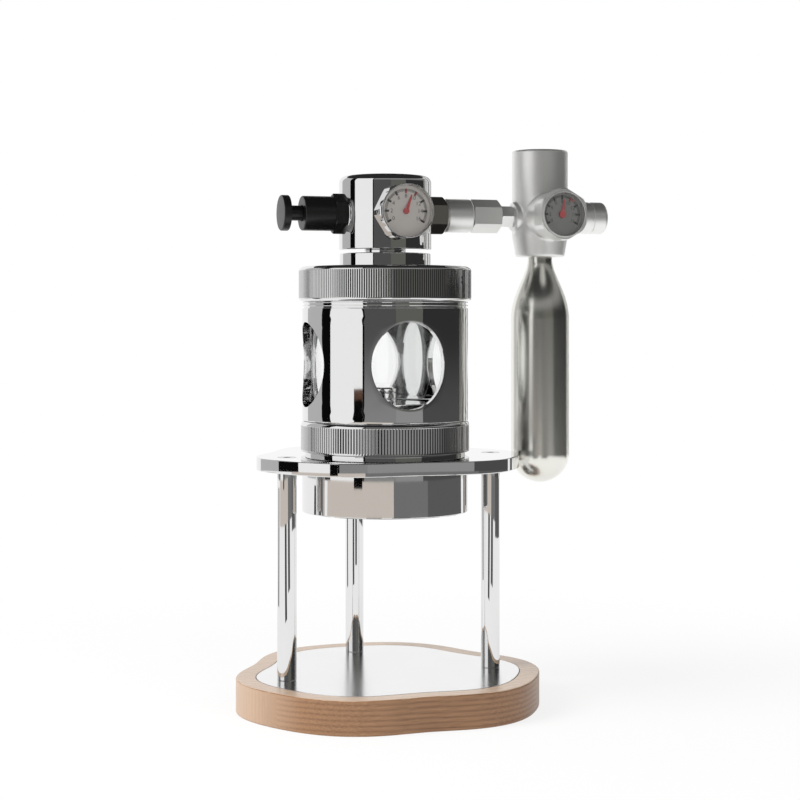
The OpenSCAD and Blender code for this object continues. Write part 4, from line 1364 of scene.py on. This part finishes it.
@dataclass
class ReleaseValve:
    """Bright seat ring, black valve and its pull knob, along the left of the head."""

    seat: Triple = (8.9, 17.0, 18.2)
    seat_bore: float = 5.05
    root: Pair = (5.0, 11.0)
    hex_radius: float = 8.4
    barrel: Triple = (7.2, 23.1, 36.2)
    guide_radius: float = 3.4
    piston: Triple = (3.6, 13.0, 15.5)
    stem: Pair = (1.6, 33.0)
    neck_radius: float = 3.15
    knob: Triple = (7.4, 42.0, 45.2)
    coil: tuple[float, float, int] = (3.35, 0.35, 9)
    coil_ends: Pair = (15.5, 33.0)

    def build(self) -> None:
        """Builds every piece of the valve."""
        place = facing_left()
        radius, start, end = self.seat
        ring = Workpiece.cylinder(self.seat_bore, radius, start, end, 96, edge=0.5)
        ring.moved(place).finished("bright_seat_ring", CHROME, "valve_seat_ring")
        radius, start, stop = self.barrel
        guide, (root, root_low) = self.guide_radius, self.root
        profile = [
            (0, start - 0.5), (radius, start - 0.5), (radius, stop, 0.5), (guide, stop, 0.2),
            (guide, stop - 2), (0, stop - 2),
        ]
        body = Workpiece.hexagon(self.hex_radius, start - end).at(0, 0, end)
        body.beside(Workpiece.turned(profile, 96), Workpiece.cylinder(0, root, root_low, end + 0.1, 48))
        body.moved(place).finished("black_valve_body", BLACK_ANODISED, "valve_body")
        radius, start, end = self.knob
        neck, (stem, stem_end), (piston, low, top) = self.neck_radius, self.stem, self.piston
        pull = [
            (0, low), (piston, low), (piston, top), (stem, top), (stem, stem_end), (neck, stem_end),
            (neck, start), (radius, start, 0.4), (radius, end, 0.5), (0, end),
        ]
        Workpiece.turned(pull, 96).moved(place).finished("black_pull_knob", BLACK_ANODISED, "valve_plunger")
        self.spring(place)

    def spring(self, place: Matrix) -> None:
        """Winds the spring at rest.

        Args:
            place: frame of the valve.
        """
        radius, wire, turns = self.coil
        start, end = self.coil_ends
        coil = Workpiece()
        mesh = coil.mesh
        first = Matrix.Translation((radius, 0, start + wire)) @ Matrix.Rotation(math.pi / 2, 4, "X")
        bmesh.ops.create_circle(mesh, segments=10, radius=wire, matrix=first)
        steps = turns * 24
        rise = Vector((0, 0, (end - start - 2 * wire) / steps))
        bmesh.ops.spin(
            mesh, geom=mesh.verts[:] + mesh.edges[:], cent=(0, 0, 0), axis=(0, 0, 1), dvec=rise,
            angle=turns * math.tau, steps=steps,
        )
        bmesh.ops.holes_fill(mesh, edges=mesh.edges[:], sides=0)
        # The spring is finished here and not by Workpiece.finished, and is attached to no body.
        made = coil.moved(place).tidied().in_metres().shown("valve_coil_spring")
        made.data.shade_smooth()
        made.data.materials.append(SPRING_STEEL.material())
        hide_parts("valve_spring")
        fixed, pulled = (place @ Vector((0, 0, height)) * MM for height in (end, start))
        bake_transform(made)
        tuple(fixed)
        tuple(pulled)
        log.info("valve_coil_spring: %d faces, %s", len(made.data.polygons), SPRING_STEEL.name)


@dataclass
class GasLine:
    """Inlet nut, turning sleeve, adapter and nipple, along the right of the head."""

    nut: Triple = (7.9, 18.2, 25.7)
    sleeve: Triple = (7.1, 25.8, 38.0)
    sleeve_bore: float = 4.55
    adapter: Triple = (7.15, 38.1, 50.4)
    nipple: Triple = (4.97, 51.1, 56.4)
    neck: Triple = (3.9, 50.4, 57.1)
    pipe: Triple = (3.0, 45.4, 62.0)
    passages: Pair = (2.0, 1.0)
    tail: Triple = (4.5, 10.0, 42.9)

    def build(self) -> None:
        """Builds every piece of the gas line."""
        place = facing_right()
        radius, start, end = self.nut
        tail = Workpiece.cylinder(self.passages[0], *self.tail, 48)
        nut = Workpiece.hexagon(radius, end - start, 0.0, 0.5).at(0, 0, start).beside(tail)
        nut.moved(place).finished("black_inlet_nut", BLACK_CHROME, "inlet_nut")
        radius, start, end = self.sleeve
        bore, shoulder = self.sleeve_bore, radius - 0.8
        corners = [
            (bore, start), (shoulder, start, 0.3), (radius, start + 0.8, 0.4), (radius, end - 0.8, 0.4),
            (shoulder, end, 0.3), (bore, end),
        ]
        Workpiece.turned(corners, 96).moved(place).finished("round_coupler", SATIN, "coupler_sleeve")
        radius, start, end = self.adapter
        adapter = Workpiece.hexagon(radius, end - start, 0.0, 0.4).at(0, 0, start)
        adapter.moved(place).finished("satin_adapter", SATIN, "hex_adapter")
        radius, start, end = self.nipple
        inner, (neck, low, top), (outer, tip, tail) = self.passages[1], self.neck, self.pipe
        pipe = [
            (inner, tip), (outer, tip), (outer, low), (neck, low, 0.2), (neck, top), (outer, top),
            (outer, tail), (inner, tail),
        ]
        nipple = Workpiece.hexagon(radius, end - start, 30.0, 0.3).at(0, 0, start)
        nipple.beside(Workpiece.turned(pipe, 48))
        nipple.moved(place).finished("small_nipple", SATIN, "regulator_nipple")


@dataclass
class Regulator:
    """Regulator with its two bosses, its knob, its cap and the gas cartridge."""

    radius: float = 12.0
    low: float = 187.9
    top: float = 233.6
    skirt: Pair = (10.4, 9.0)
    front_boss: Pair = (9.8, 18.0)
    side_boss: Pair = (5.5, 15.0)
    inlet_boss: Pair = (6.2, 13.0)
    cap: Pair = (10.0, 4.2)
    key_holes: Pair = (0.9, 6.5)
    screw_radius: float = 3.0
    screw_levels: Pair = (227.6, 233.4)
    knob: Pair = (6.9, 14.4)
    knob_groove: float = 0.35
    cartridge_radius: float = 12.5
    cartridge_low: float = 90.9
    cartridge_top: float = 197.9
    shoulder: Pair = (160.9, 185.9)
    shoulder_slope: float = 0.78
    cartridge_neck: float = 5.3

    def body(self) -> None:
        """Makes the body, with soft corners where its bosses meet it."""
        foot, height = self.skirt
        wide, low, top = self.radius, self.low, self.top
        corners = [(0, low), (foot, low, 0.5), (wide, low + height), (wide, top, 0.9), (0, top)]
        body = Workpiece.turned(corners, 144).at(REGULATOR_X, 0, 0)
        radius, length = self.front_boss
        boss = Workpiece.cylinder(0, radius, 0, length, 144, edge=0.4)
        body.joined(boss.moved(facing_front(REGULATOR_X, 0)), Join.ADD)
        for (radius, length), way in ((self.side_boss, 0), (self.inlet_boss, math.pi)):
            boss = Workpiece.cylinder(0, radius, 0, length, 96, edge=0.3)
            side = facing_right(REGULATOR_X) @ Matrix.Rotation(way, 4, "Y")
            body.joined(boss.moved(side), Join.ADD)
        body.melted(0.42, 3)
        radius, thickness = self.cap
        body.bored(96, radius + 0.1, top - thickness, 10.0, REGULATOR_X)
        body.finished("regulator_shell", SATIN, "regulator_body")

    def fittings(self) -> None:
        """Makes the shut-off knob, the spring cap and the adjusting screw."""
        radius, length = self.knob
        start, sunk, stem = self.side_boss[1] + 0.1, radius - self.knob_groove, self.screw_radius
        corners = [
            (0, start - 4.9), (stem, start - 4.9), (stem, start), (radius, start, 0.5),
            (radius, start + 7.0, 0.1), (sunk, start + 7.3), (sunk, start + 7.9), (radius, start + 8.2, 0.1),
            (radius, start + length, 1.6), (0, start + length),
        ]
        knob = Workpiece.turned(corners, 96, 5).moved(facing_right(REGULATOR_X))
        knob.finished("round_shutoff_knob", SATIN, "shutoff_knob")
        radius, thickness = self.cap
        low, top = self.top - thickness, self.top - 0.1
        cap = Workpiece.cylinder(stem + 0.05, radius, low, top, 96, edge=0.4, mouth=0.3)
        hole, out = self.key_holes
        for side in (-1, 1):
            cap.bored(32, hole, top - 1.2, 4.0, side * out)
        cap.at(REGULATOR_X, 0, 0).finished("flat_spring_cap", SATIN, "spring_cap")
        low, top = self.screw_levels
        screw = Workpiece.cylinder(0, stem, low, top, 48, edge=0.4).bored(6, 1.6, top - 1.5, 4.0)
        screw.at(REGULATOR_X, 0, 0).finished("socket_adjuster", SCREW_STEEL, "adjusting_screw")

    def cartridge(self) -> None:
        """Makes the gas cartridge with its round bottom and its sloping shoulder."""
        radius, neck = self.cartridge_radius, self.cartridge_neck
        middle = self.cartridge_low + radius
        start, end = self.shoulder
        turns = [step * math.pi / 32 for step in range(17)]
        corners = [(radius * math.sin(turn), middle - radius * math.cos(turn)) for turn in turns]
        for share in (step / 24 for step in range(25)):
            blend = (1 + math.cos(math.pi * (1 - share) ** self.shoulder_slope)) / 2
            corners.append((radius - (radius - neck) * blend, start + (end - start) * share))
        corners += [(neck, self.cartridge_top), (0, self.cartridge_top)]
        bottle = Workpiece.turned(corners, 120).at(REGULATOR_X, 0, 0)
        bottle.finished("satin_gas_bottle", CARTRIDGE, "gas_cartridge")

    def build(self) -> None:
        """Builds every piece of the regulator."""
        self.body()
        self.fittings()
        self.cartridge()


HIDDEN_WORKS: dict[str, Finish] = {
    "group_gasket": RUBBER,
    "spray_screen": BASKET_STEEL,
    "spray_screw": SCREW_STEEL,
    "spray_block": CHROME,
    "lower_seal": RUBBER,
    "filter_basket": BASKET_STEEL,
    "upper_seal": RUBBER,
    "front_gauge_tube": TUBE_BRASS,
    "side_gauge_tube": TUBE_BRASS,
    "piercing_pin": SCREW_STEEL,
    "cartridge_seal": RUBBER,
    "regulator_piston": SCREW_STEEL,
    "regulator_spring": SPRING_STEEL,
    "spring_plate": SCREW_STEEL,
}


def dress_works() -> None:
    """Gives the inner solids their finishes."""
    for node, finish in HIDDEN_WORKS.items():
        data = frame["nodes"][node].data
        data.materials.clear()
        data.materials.append(finish.material())
        log.info("%s: %s", node, finish.name)


UNSEEN = ("visible_camera", "visible_diffuse", "visible_shadow")


def staged(piece: Workpiece, name: str, unseen: Sequence[str] = ()) -> Recipe:
    """Puts a piece on the stage and gives it a material of its own.

    Args:
        piece: the piece, in metres.
        name: name of its object and of its material.
        unseen: settings of the kinds of ray that don't see it.

    Returns:
        The material's recipe, still empty.
    """
    made = piece.shown(name)
    for setting in unseen:
        setattr(made, setting, False)
    material = bpy.data.materials.new(name)
    made.data.materials.append(material)
    return Recipe(material)


@dataclass(frozen=True)
class Card:
    """A dark or bright card of the studio, seen only in reflections.

    Attributes:
        name: its name.
        start: angle to the right of the camera where it starts, in degrees.
        end: angle where it ends.
        colour: colour of its upper part.
        foot: colour at its foot, or None where it is even.
        low: height of its lower edge, in millimetres.
        high: height of its upper edge.
        away: distance of its upper edge from the object's axis.
        near: distance of its lower edge, or None where it stands upright.
        crown: colour towards its upper edge, or None where it is even.
    """

    name: str
    start: float
    end: float
    colour: Colour
    foot: Colour | None = None
    low: float = 0.0
    high: float = 900.0
    away: float = 1100.0
    near: float | None = None
    crown: Colour | None = None

    def build(self, camera_angle: float) -> None:
        """Builds the card as a piece of a round wall or of the floor.

        Args:
            camera_angle: angle of the camera about the object, in degrees.
        """
        card = Workpiece()
        mesh = card.mesh
        first = math.radians(camera_angle + self.start - 90)
        out = Vector((math.cos(first), math.sin(first), 0))
        foot = out * (self.near or self.away) + Vector((0, 0, self.low))
        head = out * self.away + Vector((0, 0, self.high))
        edge = mesh.edges.new([mesh.verts.new(foot), mesh.verts.new(head)])
        bmesh.ops.spin(
            mesh, geom=list(edge.verts) + [edge], cent=(0, 0, 0), axis=(0, 0, 1),
            angle=math.radians(self.end - self.start), steps=max(1, round((self.end - self.start) / 3)),
        )
        recipe = staged(card.in_metres(), "card_" + self.name, (*UNSEEN, "visible_transmission"))
        height = recipe.part(recipe.place(), "Z")
        colour = recipe.mix(recipe.ramp(height, 0.055, 0.15), self.foot or self.colour, self.colour)
        colour = recipe.mix(recipe.ramp(height, 0.38, 0.7), colour, self.crown or self.colour)
        recipe.output("Material", recipe.node("Emission", None, {"Color": colour}))


@dataclass
class Studio:
    """Floor, world, lamps, reflected cards and camera."""

    camera_angle: float = -18.0
    camera_place: Triple = (-230.5, -729.7, 163.1)
    lens: float = 82.0
    shift: float = -0.107
    floor_radius: float = 1.5
    shadow_reach: Pair = (0.1, 0.35)
    ceiling_radius: float = 1.1
    ceiling_height: float = 0.9
    cards: list[Card] = field(
        default_factory=lambda: [
            Card("left_grey", -132, -95, grey(190)),
            Card("left_black", -95, -79, grey(12)),
            Card("left_block", -42, -30, grey(10), None, 0.0, 82.0, 1000.0),
            Card("left_block_top", -42, -30, shade(92, 66, 52), None, 82.0, 92.0, 1000.0),
            Card("left_line", -30, -27.5, grey(8)),
            Card("front_dark", -27.5, 15, grey(84), grey(140), crown=grey(150)),
            Card("front_olive", 15, 53, shade(100, 100, 95), grey(150), crown=grey(150)),
            Card("right_dark", 53, 128, grey(50), grey(80), crown=grey(140)),
            Card("right_grey", 134, 141, grey(110)),
            Card("right_black", 148, 153, grey(30)),
            Card("right_thin", 160, 167, grey(90)),
            Card("floor_cream", -84, 12, shade(212, 203, 194), None, 1.0, 1.0, 1098.0, 700.0),
            Card("floor_grey", 12, 60, grey(120), None, 1.0, 1.0, 1098.0, 700.0),
            Card("floor_shade", 60, 128, grey(96), None, 1.0, 1.0, 1098.0, 600.0),
            Card("floor_dark", -24, -4, grey(70), None, 1.5, 1.5, 700.0, 250.0),
            Card("floor_mid", 10, 34, grey(92), None, 1.5, 1.5, 700.0, 330.0),
            Card("floor_left", -112, -96, grey(60), None, 1.5, 1.5, 1000.0, 300.0),
        ]
    )

    def rays(self, recipe: Recipe) -> Link:
        """Tells rays from the camera, off a gloss or through glass from the others.

        Args:
            recipe: recipe of the floor or of the world.

        Returns:
            1 for those rays, and 0 for the others.
        """
        seen = recipe.node("LightPath", output="Is Camera Ray")
        gloss = seen.other("Is Glossy Ray").math("MAXIMUM", seen.other("Is Transmission Ray"))
        return seen.math("MAXIMUM", gloss)

    def world(self) -> None:
        """Makes a plain white world, half as strong on diffuse surfaces."""
        world = bpy.data.worlds.new("plain_studio")
        recipe = Recipe(world)
        strength = self.rays(recipe) * 0.5 + 0.5
        recipe.output("World", recipe.node("Background", None, {"Color": grey(255), "Strength": strength}))
        bpy.context.scene.world = world

    def floor(self) -> None:
        """Makes a pale floor that keeps a soft shadow near the object and fades to white."""
        floor = Workpiece()
        bmesh.ops.create_circle(floor.mesh, cap_ends=True, segments=96, radius=self.floor_radius)
        recipe = staged(floor, "pale_floor")
        out = recipe.node("VectorMath", {"operation": "LENGTH"}, {0: recipe.place()}, "Value")
        share = self.rays(recipe) * (recipe.ramp(out, *self.shadow_reach) * 0.2 + 0.8)
        plain = recipe.node("BsdfDiffuse", None, {"Color": grey(245)})
        white = recipe.node("Emission", None, {"Color": grey(255)})
        recipe.output("Material", recipe.node("MixShader", None, {0: share, 1: plain, 2: white}))

    def ceiling(self) -> None:
        """Makes the dark ceiling, seen only in reflections."""
        ceiling = Workpiece()
        place = Matrix.Translation((0, 0, self.ceiling_height))
        radius = self.ceiling_radius
        bmesh.ops.create_circle(ceiling.mesh, cap_ends=True, segments=96, radius=radius, matrix=place)
        recipe = staged(ceiling, "dark_ceiling", UNSEEN)
        recipe.output("Material", recipe.node("Emission", None, {"Color": grey(44)}))

    def lamp(self, name: str, angle: float, height: float, away: float, size: float, power: float) -> None:
        """Adds a soft lamp that aims at the object.

        Args:
            name: its name.
            angle: angle to the right of the camera, in degrees.
            height: its height, in metres.
            away: its distance from the axis, in metres.
            size: its width, in metres.
            power: its power, in watts.
        """
        light = bpy.data.lights.new(name, "AREA")
        light.size, light.energy = size, power
        made = bpy.data.objects.new(name, light)
        turn = math.radians(self.camera_angle + angle - 90)
        place = Vector((away * math.cos(turn), away * math.sin(turn), height))
        aim = (Vector((0, 0, 0.1)) - place).to_track_quat("-Z", "Y")
        made.matrix_world = Matrix.Translation(place) @ aim.to_matrix().to_4x4()
        made.visible_camera = made.visible_glossy = made.visible_transmission = False
        bpy.context.scene.collection.objects.link(made)

    def camera(self) -> None:
        """Places the level camera at the photograph's viewing angle."""
        data = bpy.data.cameras.new("camera")
        data.lens, data.sensor_width, data.shift_y = self.lens, 36.0, self.shift
        data.clip_start, data.clip_end = 0.01, 20.0
        made = bpy.data.objects.new("camera", data)
        made.location = Vector(self.camera_place) * MM
        made.rotation_euler = (math.pi / 2, 0, math.radians(self.camera_angle))
        bpy.context.scene.collection.objects.link(made)
        bpy.context.scene.camera = made

    def build(self) -> None:
        """Builds the studio."""
        bpy.context.scene.view_settings.view_transform = "Standard"
        self.world()
        self.floor()
        self.lamp("key_lamp", -64.0, 0.9, 1.2, 0.8, 20.0)
        self.lamp("fill_lamp", 40.0, 0.8, 1.4, 1.0, 5.0)
        for card in self.cards:
            card.build(self.camera_angle)
        self.ceiling()
        self.camera()
        log.info("studio: %d cards", len(self.cards))


def main() -> None:
    """Builds the machine and its studio in order."""
    logging.basicConfig(level=logging.INFO, format="%(name)s: %(message)s")
    Stand().build()
    Group().build()
    Chamber().build()
    Head().build()
    Gauge(
        side="front", frame=facing_front(0, 21.45), hexagon=(12.2, 8.33, 3.0), bezel=(11.1, 10.6), length=9.8,
        metal=CHROME, paper=PALE_DIAL, ticks=9.1, numerals=(6.1, 1.6), red_from=8.0, red_to=10.0,
        reading=9.3, hub=1.26,
    ).build()
    Gauge(
        side="side", frame=facing_front(REGULATOR_X, 18), hexagon=(11.5, 9.1, 30.0), bezel=(9.66, 9.16),
        length=9.5, metal=SATIN, paper=GREY_DIAL, ticks=8.2, numerals=(5.4, 1.5), red_from=10.0,
        red_to=11.0, reading=8.5, hub=1.6, red_fine=True,
    ).build()
    ReleaseValve().build()
    GasLine().build()
    Regulator().build()
    dress_works()
    Studio().build()


if __name__ == "__main__":
    main()
